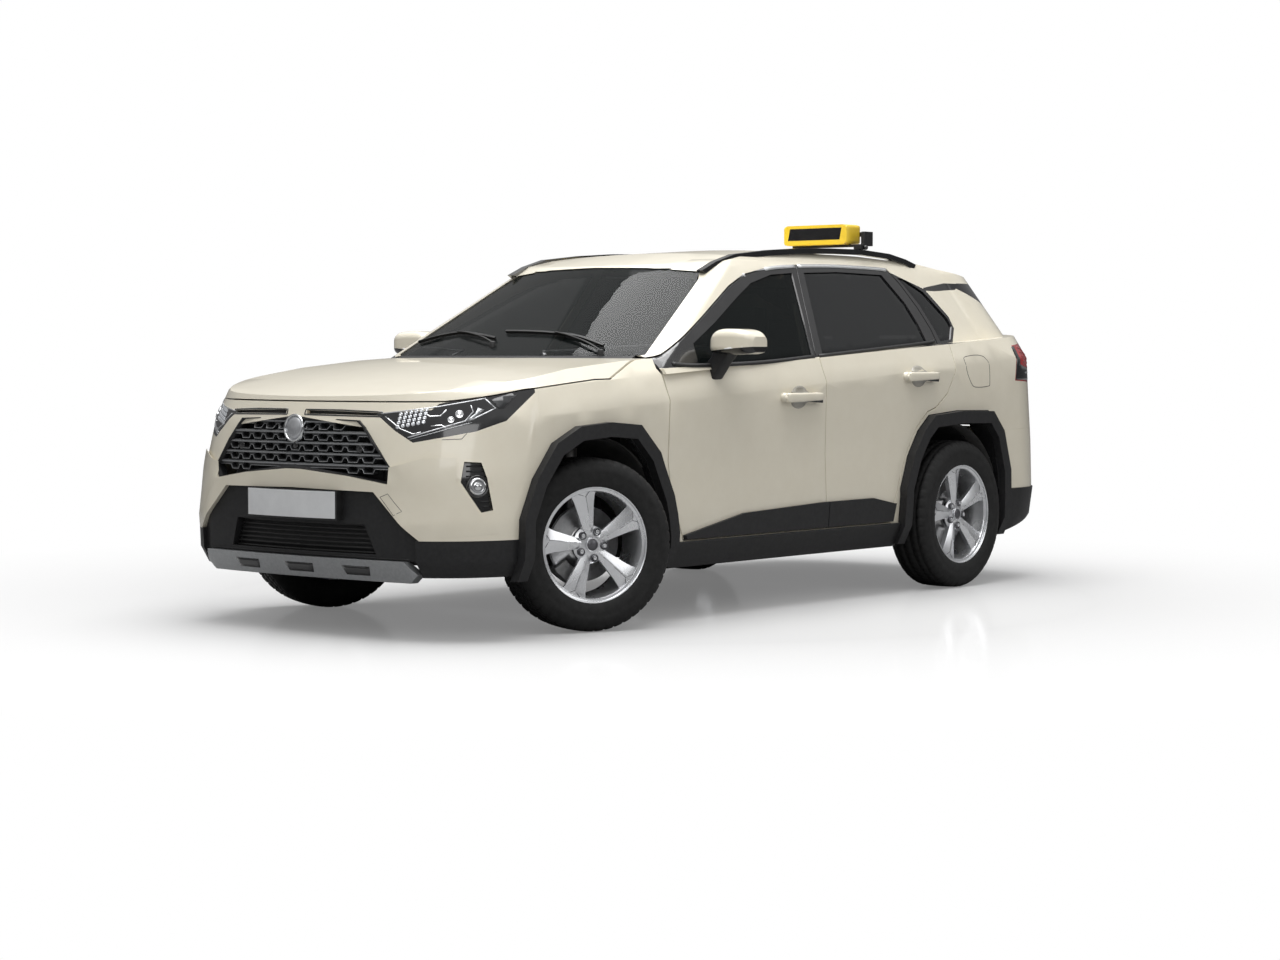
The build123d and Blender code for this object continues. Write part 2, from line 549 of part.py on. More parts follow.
# Mirrors
# Sections of the housing: x, middle y, middle z, width along y, height
MIRROR = [(858, -575, 1192, 90, 60), (890, -578, 1205, 132, 96), (985, -582, 1208, 150, 112),
          (1062, -580, 1204, 140, 100), (1096, -572, 1196, 96, 66)]
mirror_cap = loft([Pos(x, y, z) * Rot(0, 90, 0) * RectangleRounded(high, wide, 0.32 * high)
                   for x, y, z, wide, high in MIRROR])
mirror_foot = front_prism([(838, 1036), (864, 1036), (936, 1128), (968, 1172), (890, 1180), (862, 1140), (838, 1112)],
                          -622, -556)
mirror_left = mirror_foot + mirror_cap - high_0 - low_0
add("mirror_left", biggest(mirror_left))
add("mirror_right", mirrored(biggest(mirror_left)))

# Cabin
dash = side_prism([(-1000, 700), (-1000, 1040), (-880, 1075), (-700, 1050), (-600, 960), (-620, 780), (-760, 700)],
                  -660, 660)
column = Pos(370, -460, 950) * Rot(-65, 0, 0) * Pos(0, 0, -114 - SEAT_GAP) * Cylinder(34, 188)
add("dashboard", dash + column)
seats = []
for x in (-370, 370):
    cushion = side_prism([(-460, 340), (-480, 560), (-450, 600), (20, 570), (60, 520), (20, 340)], x - 245, x + 245)
    back = side_prism([(20, 520), (-10, 600), (160, 1180), (230, 1190), (250, 1140), (140, 560)], x - 240, x + 240)
    rest = side_prism([(170, 1210), (185, 1370), (260, 1370), (262, 1215)], x - 130, x + 130)
    post = side_prism([(190, 1150), (190, 1240), (225, 1240), (225, 1150)], x - 60, x + 60)
    seats.append((cushion + back + rest + post) - box(-121, 121, -1000, 1010, 300, 421))
add("front_seats", seats[0] + seats[1])
bench = side_prism([(480, 340), (470, 560), (510, 600), (830, 586), (830, 340)], -620, 620) - box(-121, 121, 0, 1010, 300, 421)
bench = bench + side_prism([(820, 440), (820, 586), (970, 580), (970, 440)], -526, 526)
bench = bench + side_prism([(930, 560), (900, 640), (1080, 1190), (1150, 1200), (1170, 1150), (1050, 650), (1012, 645),
                            (975, 645), (975, 560)], -526, 526)
for x in (-400, 0, 400):
    bench = bench + side_prism([(1090, 1180), (1100, 1330), (1170, 1330), (1160, 1180)], x - 120, x + 120)
add("rear_bench", bench)

# Machinery that shows from below
engine = box(ENGINE_X[0], ENGINE_X[1], -1900, -1200, 380, 900)
add("engine_block", engine)
exhaust = box(-30, 30, -990, 1150, 240, 288) + box(-400, 420, 1730, 1900, 240, 400)
exhaust = exhaust + box(-30, 60, 1100, 1740, 240, 286) + box(470, 520, 1850, 2240, 244, 294)
exhaust = exhaust + box(410, 520, 1850, 1890, 250, 294)
exhaust = exhaust + box(-12, 12, -620, -590, 280, 300) + box(-12, 12, 500, 530, 280, 300)
exhaust = exhaust + box(0, 24, 1800, 1830, 390, 600)
add("exhaust", exhaust)
tank = box(-560, -60, 420, 960, 236, 300)
add("fuel_tank", tank)

# Suspension. The hub's inner end stands this far inboard of the wheel's middle
HUB_DEPTH = 42
BALL_Z = 270
CARRIER = (285, 296)
front_arms = box(-420, 420, -1450, -1300, 250, 300)
for sign in (-1, 1):
    front_arms = front_arms + box(sign * 400, sign * 690, -1420, -1330, 244, BALL_Z)
    front_arms = front_arms + box(sign * 680, sign * (KINGPIN_X + 8), -1387, -1363, 248, BALL_Z)
add("front_suspension", front_arms)
rear_arms = box(-520, 520, 1270, 1360, 300, 420)
for sign in (-1, 1):
    rear_arms = rear_arms + box(sign * 500, sign * 690, 1280, 1350, 330, 400)
    rear_arms = rear_arms + Pos(sign * 690, REAR_AXLE_Y, AXLE_Z) * Rot(0, 90, 0) * Cylinder(60, 50)
    stub = HALF_TRACK_REAR - HUB_DEPTH - SEAT_GAP - 690
    rear_arms = rear_arms + Pos(sign * (690 + stub / 2), REAR_AXLE_Y, AXLE_Z) * Rot(0, 90, 0) * Cylinder(38, stub)
    rear_arms = rear_arms + Pos(sign * 480, REAR_AXLE_Y, 505) * Cylinder(45, 190)
add("rear_suspension", rear_arms)
knuckle = box(700, 752, -1425, -1325, 300, 430) + box(640, 730, -1400, -1350, 380, 440)
knuckle = knuckle + box(636, 682, -1400, -1350, 380, 760)
stub = HALF_TRACK_FRONT - HUB_DEPTH - SEAT_GAP - 740
knuckle = knuckle + Pos(740 + stub / 2, FRONT_AXLE_Y, AXLE_Z) * Rot(0, 90, 0) * Cylinder(38, stub)
knuckle = knuckle + box(700, KINGPIN_X + 9, -1393, -1357, CARRIER[0], CARRIER[1])
knuckle = knuckle + box(700, 752, -1393, -1357, CARRIER[0], 310)
stud = CARRIER[0] + 4 - BALL_Z - SEAT_GAP
knuckle = knuckle + Pos(KINGPIN_X, FRONT_AXLE_Y, BALL_Z + SEAT_GAP + stud / 2) * Cylinder(8, stud)
add("knuckle_left", Pos(KINGPIN_X, FRONT_AXLE_Y, 0) * Rot(0, 0, STEER_REST) * Pos(-KINGPIN_X, -FRONT_AXLE_Y, 0) * knuckle)
add("knuckle_right", Pos(-KINGPIN_X, FRONT_AXLE_Y, 0) * Rot(0, 0, STEER_REST) * Pos(KINGPIN_X, -FRONT_AXLE_Y, 0)
    * mirrored(knuckle))

# Steering wheel
wheel_rim = Torus(178, 15)
hub = Cylinder(52, 40) + Box(350, 34, 14) + Pos(0, 90, 0) * Box(34, 180, 14)
steer = Pos(370, -460, 950) * Rot(-65, 0, 0) * (wheel_rim + hub)
add("steering_wheel", steer)


# Wheels
def wheel_parts():
    w = TYRE_WIDTH / 2
    r = TYRE_RADIUS
    profile = [(RIM_RADIUS - 6, -w + 18), (RIM_RADIUS + 20, -w + 3), (RIM_RADIUS + 62, -w), (r - 22, -w + 9),
               (r, -w + 32), (r, w - 32), (r - 22, w - 9), (RIM_RADIUS + 62, w), (RIM_RADIUS + 20, w - 3),
               (RIM_RADIUS - 6, w - 18)]
    face = Face(Wire.make_polygon([(radius, 0, x) for radius, x in profile], close=True))
    tyre = revolve(face, Axis.Z, 360)
    rim_profile = [(RIM_RADIUS - 7, -w + 18), (RIM_RADIUS - 7, w - 18), (RIM_RADIUS - 3, w - 13), (RIM_RADIUS - 16, w - 13),
                   (RIM_RADIUS - 22, w - 50), (RIM_RADIUS - 22, -w + 20), (RIM_RADIUS - 12, -w + 14)]
    barrel = revolve(Face(Wire.make_polygon([(radius, 0, x) for radius, x in rim_profile], close=True)), Axis.Z, 360)
    rim = barrel + Pos(0, 0, w - 42) * Cylinder(78, 46)
    for k in range(5):
        spoke = prism([(40, -34, w - 58), (228, -54, w - 40), (228, 54, w - 40), (40, 34, w - 58)], (0, 0, 26))
        rim = rim + Rot(0, 0, 90 + 72 * k) * spoke
    rim = rim + Pos(0, 0, (54 - HUB_DEPTH) / 2) * Cylinder(62, 54 + HUB_DEPTH)
    rim = rim + Pos(0, 0, -14) * Cylinder(158, 24)
    return tyre, rim


tyre, rim = wheel_parts()
PLACES = [
    ("front_left", HALF_TRACK_FRONT, FRONT_AXLE_Y, 1, True),
    ("front_right", -HALF_TRACK_FRONT, FRONT_AXLE_Y, -1, True),
    ("rear_left", HALF_TRACK_REAR, REAR_AXLE_Y, 1, False),
    ("rear_right", -HALF_TRACK_REAR, REAR_AXLE_Y, -1, False),
]
for name, x, y, side_sign, steered in PLACES:
    place = Pos(x, y, AXLE_Z) * Rot(0, 90 * side_sign, 0)
    if steered:
        pin = side_sign * KINGPIN_X
        place = Pos(pin, y, 0) * Rot(0, 0, STEER_REST) * Pos(-pin, -y, 0) * place
    add("tyre_" + name, place * tyre)
    add("rim_" + name, place * rim)

for name, shape in nodes.items():
    export_step(shape, "parts/" + name + ".step")
print(len(nodes), "nodes")
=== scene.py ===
import json
import math

import bmesh
import bpy
from mathutils import Matrix, Vector
from mathutils.bvhtree import BVHTree
from mathutils.geometry import delaunay_2d_cdt


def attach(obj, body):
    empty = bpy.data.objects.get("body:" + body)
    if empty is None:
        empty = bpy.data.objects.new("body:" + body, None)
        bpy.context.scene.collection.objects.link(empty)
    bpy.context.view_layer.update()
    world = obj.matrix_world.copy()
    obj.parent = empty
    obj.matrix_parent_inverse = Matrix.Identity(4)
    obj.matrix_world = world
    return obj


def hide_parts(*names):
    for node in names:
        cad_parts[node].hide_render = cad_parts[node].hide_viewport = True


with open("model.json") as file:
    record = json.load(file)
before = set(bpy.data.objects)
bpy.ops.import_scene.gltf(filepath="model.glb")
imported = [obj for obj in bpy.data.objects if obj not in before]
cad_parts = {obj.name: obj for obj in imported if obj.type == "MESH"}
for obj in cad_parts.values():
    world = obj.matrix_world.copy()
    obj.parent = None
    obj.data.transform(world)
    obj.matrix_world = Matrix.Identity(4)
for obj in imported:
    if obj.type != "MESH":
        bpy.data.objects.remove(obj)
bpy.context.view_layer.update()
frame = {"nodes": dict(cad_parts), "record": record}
NODES = frame["nodes"]

# Materials; lengths are in metres and colours are linear


def node(tree, kind, **values):
    # a shader node with plain values on its inputs; an underscore in a name stands for a space
    n = tree.nodes.new("ShaderNode" + kind)
    for key, value in values.items():
        n.inputs[key.replace("_", " ")].default_value = value
    return n


def new_material(name):
    m = bpy.data.materials.new(name)
    m.use_nodes = True
    return m, m.node_tree, m.node_tree.nodes["Principled BSDF"]


def noise(tree, scale, detail=3.0):
    coords = node(tree, "TexCoord")
    n = node(tree, "TexNoise", Scale=scale, Detail=detail, Roughness=0.6)
    tree.links.new(coords.outputs["Object"], n.inputs["Vector"])
    return n.outputs["Fac"]


def ramp(tree, source, low, high, a, b):
    r = node(tree, "ValToRGB")
    for stop, place, colour in zip(r.color_ramp.elements, (low, high), (a, b)):
        stop.position = place
        stop.color = (*colour, 1)
    tree.links.new(source, r.inputs["Fac"])
    return r.outputs["Color"]


def surface(name, a, b, rough, metal=0.0, coat=0.0, scale=40.0, bump_scale=0.0, bump_depth=0.0,
            rough_spread=0.05, glow=0.0, shine=0.5):
    # two close colours mixed by noise, with its own spread of roughness
    m, t, p = new_material(name)
    t.links.new(ramp(t, noise(t, scale), 0.3, 0.7, a, b), p.inputs["Base Color"])
    spread = node(t, "MapRange", To_Min=max(rough - rough_spread, 0.0), To_Max=min(rough + rough_spread, 1.0))
    t.links.new(noise(t, scale * 0.23), spread.inputs["Value"])
    t.links.new(spread.outputs["Result"], p.inputs["Roughness"])
    p.inputs["Metallic"].default_value = metal
    p.inputs["Specular IOR Level"].default_value = shine
    if coat:
        p.inputs["Coat Weight"].default_value = coat
        p.inputs["Coat Roughness"].default_value = COAT_ROUGH
    if bump_scale:
        grain = node(t, "Bump", Strength=0.6, Distance=bump_depth)
        t.links.new(noise(t, bump_scale, 4.0), grain.inputs["Height"])
        t.links.new(grain.outputs["Normal"], p.inputs["Normal"])
    if glow:
        p.inputs["Emission Color"].default_value = (1, 1, 1, 1)
        p.inputs["Emission Strength"].default_value = glow
    return m


def glass(name, tint, alpha, coat, shine):
    m, t, p = new_material(name)
    dark = tuple(c * 0.8 for c in tint)
    t.links.new(ramp(t, noise(t, 3.0), 0.2, 0.8, dark, tint), p.inputs["Base Color"])
    for socket, value in (("Roughness", 0.0), ("IOR", 1.5), ("Alpha", alpha), ("Coat Weight", coat),
                          ("Coat Roughness", 0.0), ("Specular IOR Level", shine)):
        p.inputs[socket].default_value = value
    return m


COAT_ROUGH = 0.03
PAINT_A, PAINT_B = (0.775, 0.722, 0.595), (0.800, 0.750, 0.625)
BLACK_A, BLACK_B = (0.010, 0.010, 0.011), (0.018, 0.018, 0.019)
PAINT_COAT, PAINT_SHINE, PAINT_SCALE = 0.7, 0.4, 9.0
PAINT = surface("paint_ivory", PAINT_A, PAINT_B, 0.30, coat=PAINT_COAT, scale=PAINT_SCALE, rough_spread=0.02,
                shine=PAINT_SHINE)
PLASTIC = surface("plastic_grained", (0.017, 0.017, 0.018), (0.024, 0.024, 0.025), 0.50, scale=60.0,
                  bump_scale=700.0, bump_depth=0.0002, shine=0.3)
GLOSS_BLACK = surface("gloss_black", (0.008, 0.008, 0.009), (0.014, 0.014, 0.015), 0.12, coat=0.8, scale=20.0)
GRILLE_GREY = surface("grille_grey", (0.026, 0.027, 0.029), (0.040, 0.041, 0.044), 0.3, coat=0.3, scale=30.0)
SILVER = surface("silver_paint", (0.36, 0.37, 0.38), (0.44, 0.45, 0.46), 0.3, metal=0.7, scale=80.0)
CHROME = surface("chrome", (0.70, 0.71, 0.72), (0.78, 0.79, 0.80), 0.09, metal=1.0, scale=12.0,
                 rough_spread=0.03)
ALLOY = surface("alloy_bright", (0.78, 0.79, 0.81), (0.84, 0.85, 0.87), 0.28, metal=0.85, scale=35.0,
                rough_spread=0.06)
# dark alloy: painted shade in the nut pockets and along the spoke creases, and the blank cap's own dark face
ALLOY_SHADE_AND_CAP = surface("alloy_shade_and_cap", (0.10, 0.10, 0.11), (0.15, 0.15, 0.16), 0.35, metal=0.6, scale=35.0)
STEEL = surface("steel_dull", (0.16, 0.155, 0.15), (0.24, 0.235, 0.23), 0.45, metal=0.85, scale=25.0,
                bump_scale=200.0, bump_depth=0.0005)
DISC = surface("disc_steel", (0.42, 0.42, 0.42), (0.52, 0.52, 0.52), 0.3, metal=1.0, scale=60.0)
RUBBER = surface("tyre_rubber", (0.010, 0.010, 0.010), (0.018, 0.018, 0.018), 0.62, scale=35.0,
                 bump_scale=350.0, bump_depth=0.0004, shine=0.3)
BRIGHT = surface("bright_trim", (0.70, 0.71, 0.72), (0.80, 0.81, 0.82), 0.22, metal=0.45, coat=0.5,
                 scale=30.0)
SEAL = surface("seal_rubber", (0.010, 0.010, 0.010), (0.018, 0.018, 0.018), 0.5, scale=30.0)
CLOTH = surface("seat_cloth", (0.030, 0.030, 0.033), (0.055, 0.055, 0.060), 0.9, scale=220.0,
                bump_scale=1200.0, bump_depth=0.0006)
DASH = surface("dash_soft", (0.022, 0.022, 0.024), (0.036, 0.036, 0.038), 0.6, scale=60.0, bump_scale=700.0,
               bump_depth=0.0004)
UNDER = surface("underseal", (0.020, 0.020, 0.020), (0.045, 0.044, 0.042), 0.8, scale=14.0, bump_scale=120.0,
                bump_depth=0.001)
CAST = surface("cast_metal", (0.20, 0.20, 0.20), (0.30, 0.30, 0.30), 0.5, metal=0.8, scale=18.0,
               bump_scale=160.0, bump_depth=0.0008)
YELLOW = surface("sign_yellow", (0.83, 0.56, 0.03), (0.90, 0.63, 0.05), 0.3, coat=0.5, scale=12.0)
RED_LENS = surface("red_lens", (0.38, 0.008, 0.012), (0.52, 0.018, 0.022), 0.12, coat=1.0, scale=40.0)
# white lens with a faint glow: a painted glint on the mirrors' indicator strips
GLINT_LENS = surface("lens_painted_glint", (0.70, 0.71, 0.72), (0.80, 0.81, 0.82), 0.1, coat=1.0, scale=60.0,
                     glow=0.25)
CRYSTAL = surface("lamp_crystal", (0.45, 0.47, 0.50), (0.72, 0.74, 0.77), 0.12, metal=0.6, coat=1.0,
                  scale=160.0, glow=0.06)
SATIN = surface("satin_blank", (0.50, 0.51, 0.53), (0.58, 0.59, 0.61), 0.34, metal=0.8, scale=40.0)
PLATE = surface("plate_blank", (0.66, 0.67, 0.68), (0.72, 0.73, 0.74), 0.4, scale=15.0)
GLASS = glass("glass_tint", (0.006, 0.008, 0.008), 0.74, 0.0, 0.12)
SCREEN = glass("glass_windscreen", (0.006, 0.008, 0.008), 0.55, 0.0, 0.16)
GLASS_REAR = glass("glass_privacy", (0.005, 0.006, 0.007), 0.90, 0.3, 0.35)
LAMP_LINE = surface("lamp_line", (0.40, 0.41, 0.43), (0.56, 0.57, 0.59), 0.15, metal=0.5, coat=1.0,
                    scale=60.0, glow=0.04)


def calc(tree, operation, a, b=0.0):
    # one step of arithmetic between sockets and plain values
    n = node(tree, "Math")
    n.operation = operation
    for socket, value in zip(n.inputs, (a, b)):
        if isinstance(value, (int, float)):
            socket.default_value = value
        else:
            tree.links.new(value, socket)
    return n.outputs["Value"]


def area_mask(tree, u, v, corners):
    # 1 where the point (u, v) lies inside a convex outline given anticlockwise
    result = None
    for (u0, v0), (u1, v1) in zip(corners, corners[1:] + corners[:1]):
        across = calc(tree, "MULTIPLY", calc(tree, "SUBTRACT", v, v0), u1 - u0)
        along = calc(tree, "MULTIPLY", calc(tree, "SUBTRACT", u, u0), v1 - v0)
        side_of = calc(tree, "SUBTRACT", across, along)
        result = side_of if result is None else calc(tree, "MINIMUM", result, side_of)
    return calc(tree, "GREATER_THAN", result, 0.0)


# The side view used for outlines leans: y shifts by SLANT for each metre outside REFERENCE_X
SLANT = 0.32
REFERENCE_X = 0.89


def two_tone(name, outlines, front_view=False, min_x=0.0):
    # paint with black areas; outlines are (y, z) in the slanted side view, or (x, z) seen from the front
    m, t, p = new_material(name)
    coords = node(t, "TexCoord")
    parts = node(t, "SeparateXYZ")
    t.links.new(coords.outputs["Object"], parts.inputs["Vector"])
    out_x = calc(t, "ABSOLUTE", parts.outputs["X"])
    u = out_x
    if not front_view:
        lean = calc(t, "MULTIPLY", calc(t, "SUBTRACT", out_x, REFERENCE_X), SLANT)
        u = calc(t, "SUBTRACT", parts.outputs["Y"], lean)
    mask = None
    for corners in outlines:
        part = area_mask(t, u, parts.outputs["Z"], corners)
        mask = part if mask is None else calc(t, "MAXIMUM", mask, part)
    if min_x:
        mask = calc(t, "MULTIPLY", mask, calc(t, "GREATER_THAN", out_x, min_x))
    cloud = noise(t, PAINT_SCALE)
    mix = node(t, "Mix")
    mix.data_type = "RGBA"
    t.links.new(mask, mix.inputs["Factor"])
    t.links.new(ramp(t, cloud, 0.3, 0.7, PAINT_A, PAINT_B), mix.inputs["A"])
    t.links.new(ramp(t, cloud, 0.3, 0.7, BLACK_A, BLACK_B), mix.inputs["B"])
    t.links.new(mix.outputs["Result"], p.inputs["Base Color"])
    rough = calc(t, "ADD", calc(t, "MULTIPLY", cloud, 0.04), 0.28)
    t.links.new(calc(t, "SUBTRACT", rough, calc(t, "MULTIPLY", mask, 0.08)), p.inputs["Roughness"])
    p.inputs["Coat Weight"].default_value = PAINT_COAT
    p.inputs["Coat Roughness"].default_value = COAT_ROUGH
    p.inputs["Specular IOR Level"].default_value = PAINT_SHINE
    return m


# Black areas of the painted panels: edges inside the wheel arches, window frames, round the rear side
# windows, under the spoiler, the mirrors' undersides
ARCH_AREAS = [
    [(-1.886, 0.100), (-0.908, 0.100), (-0.912, 0.390), (-0.955, 0.550), (-1.045, 0.730), (-1.170, 0.845),
     (-1.360, 0.862), (-1.550, 0.850), (-1.695, 0.785), (-1.810, 0.645), (-1.886, 0.490)],
    [(0.826, 0.100), (1.765, 0.100), (1.760, 0.580), (1.704, 0.770), (1.600, 0.872), (1.310, 0.876),
     (1.060, 0.858), (0.968, 0.785), (0.884, 0.665), (0.822, 0.510)],
]
WINDOW_AREA = [(-0.960, 1.093), (0.241, 1.134), (1.393, 1.206), (2.000, 1.240), (2.000, 2.000),
               (-0.960, 2.000)]
QUARTER_AREA = [(1.000, 1.180), (1.478, 1.212), (1.556, 1.282), (1.556, 1.340), (1.446, 1.476),
                (1.190, 1.556)]
BAND_AREAS = [
    [(1.430, 1.470), (1.532, 1.468), (1.715, 1.478), (1.750, 1.510), (1.660, 1.511), (1.440, 1.484)],
    [(1.715, 1.478), (1.827, 1.444), (2.000, 1.376), (2.060, 1.462), (1.986, 1.512), (1.740, 1.512)],
    [(2.000, 1.376), (2.216, 1.238), (2.400, 1.238), (2.346, 1.279), (2.198, 1.372), (2.060, 1.462)],
]
MIRROR_AREA = [(0.800, 1.000), (1.150, 1.000), (1.150, 1.190), (0.800, 1.163)]
DOOR_PAINT = two_tone("paint_door", [WINDOW_AREA])
SIDE_PAINT = two_tone("paint_side", [QUARTER_AREA] + BAND_AREAS + ARCH_AREAS)
FENDER_PAINT = two_tone("paint_fender", ARCH_AREAS)
TAIL_PAINT = two_tone("paint_tailgate", BAND_AREAS, min_x=0.48)
MIRROR_PAINT = two_tone("paint_mirror", [MIRROR_AREA], front_view=True)

LOOK = {
    "paint": PAINT, "tinted_glass": GLASS, "black_plastic": PLASTIC, "grille_plastic": GRILLE_GREY,
    "silver_trim": SILVER, "lamp_cover": GLOSS_BLACK, "red_lamp": RED_LENS, "yellow_plastic": YELLOW,
    "cloth": CLOTH, "underbody": UNDER, "steel": STEEL, "casting": CAST, "leather_black": DASH,
    "tyre": RUBBER,
    "alloy": ALLOY,
}
slots = {s["node"]: s["material_slot"] for s in frame["record"]["subparts"]}
OWN_LOOK = {"dashboard": DASH, "windscreen": SCREEN, "roof_rails": GLOSS_BLACK, "quarter_glass": GLASS_REAR,
            "rear_glass": GLASS_REAR, "wheel_housings": UNDER, "fuel_tank": UNDER, "tailgate": TAIL_PAINT,
            "front_bumper": FENDER_PAINT, "rear_bumper": FENDER_PAINT}
for side_name in ("left", "right"):
    OWN_LOOK["door_rear_glass_" + side_name] = GLASS_REAR
    OWN_LOOK["door_front_" + side_name] = DOOR_PAINT
    OWN_LOOK["door_rear_" + side_name] = DOOR_PAINT
    OWN_LOOK["body_side_" + side_name] = SIDE_PAINT
    OWN_LOOK["mirror_" + side_name] = MIRROR_PAINT
    OWN_LOOK["fender_" + side_name] = FENDER_PAINT


def round_edges(obj, width, angle):
    bevel = obj.modifiers.new("bevel", "BEVEL")
    bevel.width = width
    bevel.segments = 2
    bevel.limit_method = "ANGLE"
    bevel.angle_limit = math.radians(angle)


# The solids' panels: joined seams, small rounded edges, smooth shading
EDGE_WIDTHS = {"paint": 0.0022, "black_plastic": 0.003, "silver_trim": 0.003, "cloth": 0.03,
               "red_lamp": 0.002,
               "lamp_cover": 0.002, "yellow_plastic": 0.004}
for name, obj in NODES.items():
    obj.data.materials.clear()
    obj.data.materials.append(OWN_LOOK.get(name, LOOK[slots[name]]))
    weld = obj.modifiers.new("weld", "WELD")
    weld.merge_threshold = 0.00008
    width = EDGE_WIDTHS.get(slots[name])
    if width and name not in ("wheel_housings", "fuel_tank"):
        round_edges(obj, width, 38)
    for poly in obj.data.polygons:
        poly.use_smooth = True
    normal = obj.modifiers.new("normals", "WEIGHTED_NORMAL")
    normal.keep_sharp = True

# Helpers for the added pieces; a shape is a (vertices, faces) pair


def mesh_piece(name, verts, faces, mat, body, smooth=True, edge=None, turn=None):
    data = bpy.data.meshes.new(name)
    data.from_pydata([tuple(v) for v in verts], [], [tuple(f) for f in faces])
    bm = bmesh.new()
    bm.from_mesh(data)
    bmesh.ops.remove_doubles(bm, verts=bm.verts, dist=1e-6)
    bmesh.ops.recalc_face_normals(bm, faces=bm.faces)
    if turn is not None:
        bmesh.ops.transform(bm, matrix=turn, verts=bm.verts)
    bm.to_mesh(data)
    bm.free()
    obj = bpy.data.objects.new(name, data)
    bpy.context.scene.collection.objects.link(obj)
    data.materials.append(mat)
    for poly in data.polygons:
        poly.use_smooth = smooth
    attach(obj, body)
    if edge:
        round_edges(obj, edge, 35)
        obj.modifiers.new("normals", "WEIGHTED_NORMAL")
    return obj


def join_shapes(parts):
    verts, faces = [], []
    for v, f in parts:
        base = len(verts)
        verts.extend(v)
        faces.extend(tuple(i + base for i in face) for face in f)
    return verts, faces


def moved(shape, matrix):
    v, f = shape
    return [matrix @ Vector(p) for p in v], f


def flipped(shape):
    v, f = shape
    return [Vector((-p[0], p[1], p[2])) for p in v], [tuple(reversed(face)) for face in f]


def pair(name, shape, mat, body="chassis", smooth=True, edge=None):
    # the shape on the left and its mirror image on the right
    mesh_piece(name + "_left", *shape, mat, body, smooth, edge)
    mesh_piece(name + "_right", *flipped(shape), mat, body.replace("left", "right"), smooth, edge)


def box_shape(x0, x1, y0, y1, z0, z1):
    v = [(x, y, z) for x in (x0, x1) for y in (y0, y1) for z in (z0, z1)]
    return v, [(0, 1, 3, 2), (4, 6, 7, 5), (0, 4, 5, 1), (2, 3, 7, 6), (0, 2, 6, 4), (1, 5, 7, 3)]


def lathe(profile, count, closed=False):
    # profile of (radius, height) turned about +Z
    verts, faces = [], []
    n = len(profile)
    for i in range(count):
        a = 2 * math.pi * i / count
        verts.extend((r * math.cos(a), r * math.sin(a), h) for r, h in profile)
    for i in range(count):
        j = (i + 1) % count
        for k in range(n if closed else n - 1):
            k2 = (k + 1) % n
            faces.append((i * n + k, j * n + k, j * n + k2, i * n + k2))
    return verts, faces


def strip(sections, closed_ring=False):
    # sections are rings with equal numbers of points; the ends are capped unless they meet
    n = len(sections[0])
    m = len(sections)
    verts = [p for s in sections for p in s]
    faces = []
    for i in range(m if closed_ring else m - 1):
        a, b = i * n, ((i + 1) % m) * n
        for k in range(n):
            k2 = (k + 1) % n
            faces.append((a + k, b + k, b + k2, a + k2))
    if not closed_ring:
        faces.append(tuple(range(n - 1, -1, -1)))
        faces.append(tuple((m - 1) * n + k for k in range(n)))
    return verts, faces


def tube(points, radius, sides=8, flat=1.0):
    pts = [Vector(p) for p in points]
    last = len(pts) - 1
    sections = []
    for i, p in enumerate(pts):
        d = pts[min(i + 1, last)] - pts[max(i - 1, 0)]
        d.normalize()
        a = d.cross(Vector((0, 0, 1)))
        if a.length < 1e-4:
            a = d.cross(Vector((1, 0, 0)))
        a.normalize()
        b = a.cross(d)
        sections.append([p + a * (radius * math.cos(t)) + b * (radius * flat * math.sin(t))
                         for t in [2 * math.pi * k / sides for k in range(sides)]])
    return strip(sections)


def smooth_line(points, per, closed_ring=False):
    # Catmull-Rom through the points
    pts = [Vector(p) for p in points]
    n = len(pts)
    out_points = []
    for i in range(n if closed_ring else n - 1):
        if closed_ring:
            p0, p1, p2, p3 = pts[i - 1], pts[i], pts[(i + 1) % n], pts[(i + 2) % n]
        else:
            p0, p1, p2, p3 = pts[max(i - 1, 0)], pts[i], pts[i + 1], pts[min(i + 2, n - 1)]
        for k in range(per):
            t = k / per
            out_points.append(0.5 * ((2 * p1) + (p2 - p0) * t + (2 * p0 - 5 * p1 + 4 * p2 - p3) * t * t
                                     + (3 * p1 - p0 - 3 * p2 + p3) * t ** 3))
    if not closed_ring:
        out_points.append(pts[-1])
    return out_points


def rounded(wide, high, share, steps):
    # outline of a rounded rectangle about its middle
    r = share * min(wide, high)
    pts = []
    for sx, sy, start in ((1, 1, 0), (-1, 1, 90), (-1, -1, 180), (1, -1, 270)):
        for k in range(steps + 1):
            a = math.radians(start + 90 * k / steps)
            pts.append((sx * (wide / 2 - r) + r * math.cos(a), sy * (high / 2 - r) + r * math.sin(a)))
    return pts


# The outer skin, for laying trim on it
SKIN_SLOTS = ("paint", "tinted_glass", "black_plastic", "lamp_cover", "red_lamp", "grille_plastic",
              "silver_trim")
OFF_SKIN = ("wheel_housings", "dashboard", "roof_rails", "sign_bracket", "fuel_tank", "mirror_left",
            "mirror_right", "cowl_panel")
skin_verts, skin_faces = join_shapes(
    [([v.co.copy() for v in NODES[n].data.vertices], [tuple(p.vertices) for p in NODES[n].data.polygons])
     for n in NODES if slots[n] in SKIN_SLOTS and n not in OFF_SKIN])
SKIN = BVHTree.FromPolygons(skin_verts, skin_faces)
RAY_START = 3.2


def on_skin(origin, direction, fallback, away):
    # place and outward normal where a ray meets the skin
    direction = Vector(direction)
    place, normal, _, _ = SKIN.ray_cast(Vector(origin), direction.normalized())
    if place is None:
        return Vector(fallback), Vector(away)
    return place, -normal if normal.dot(direction) > 0 else normal


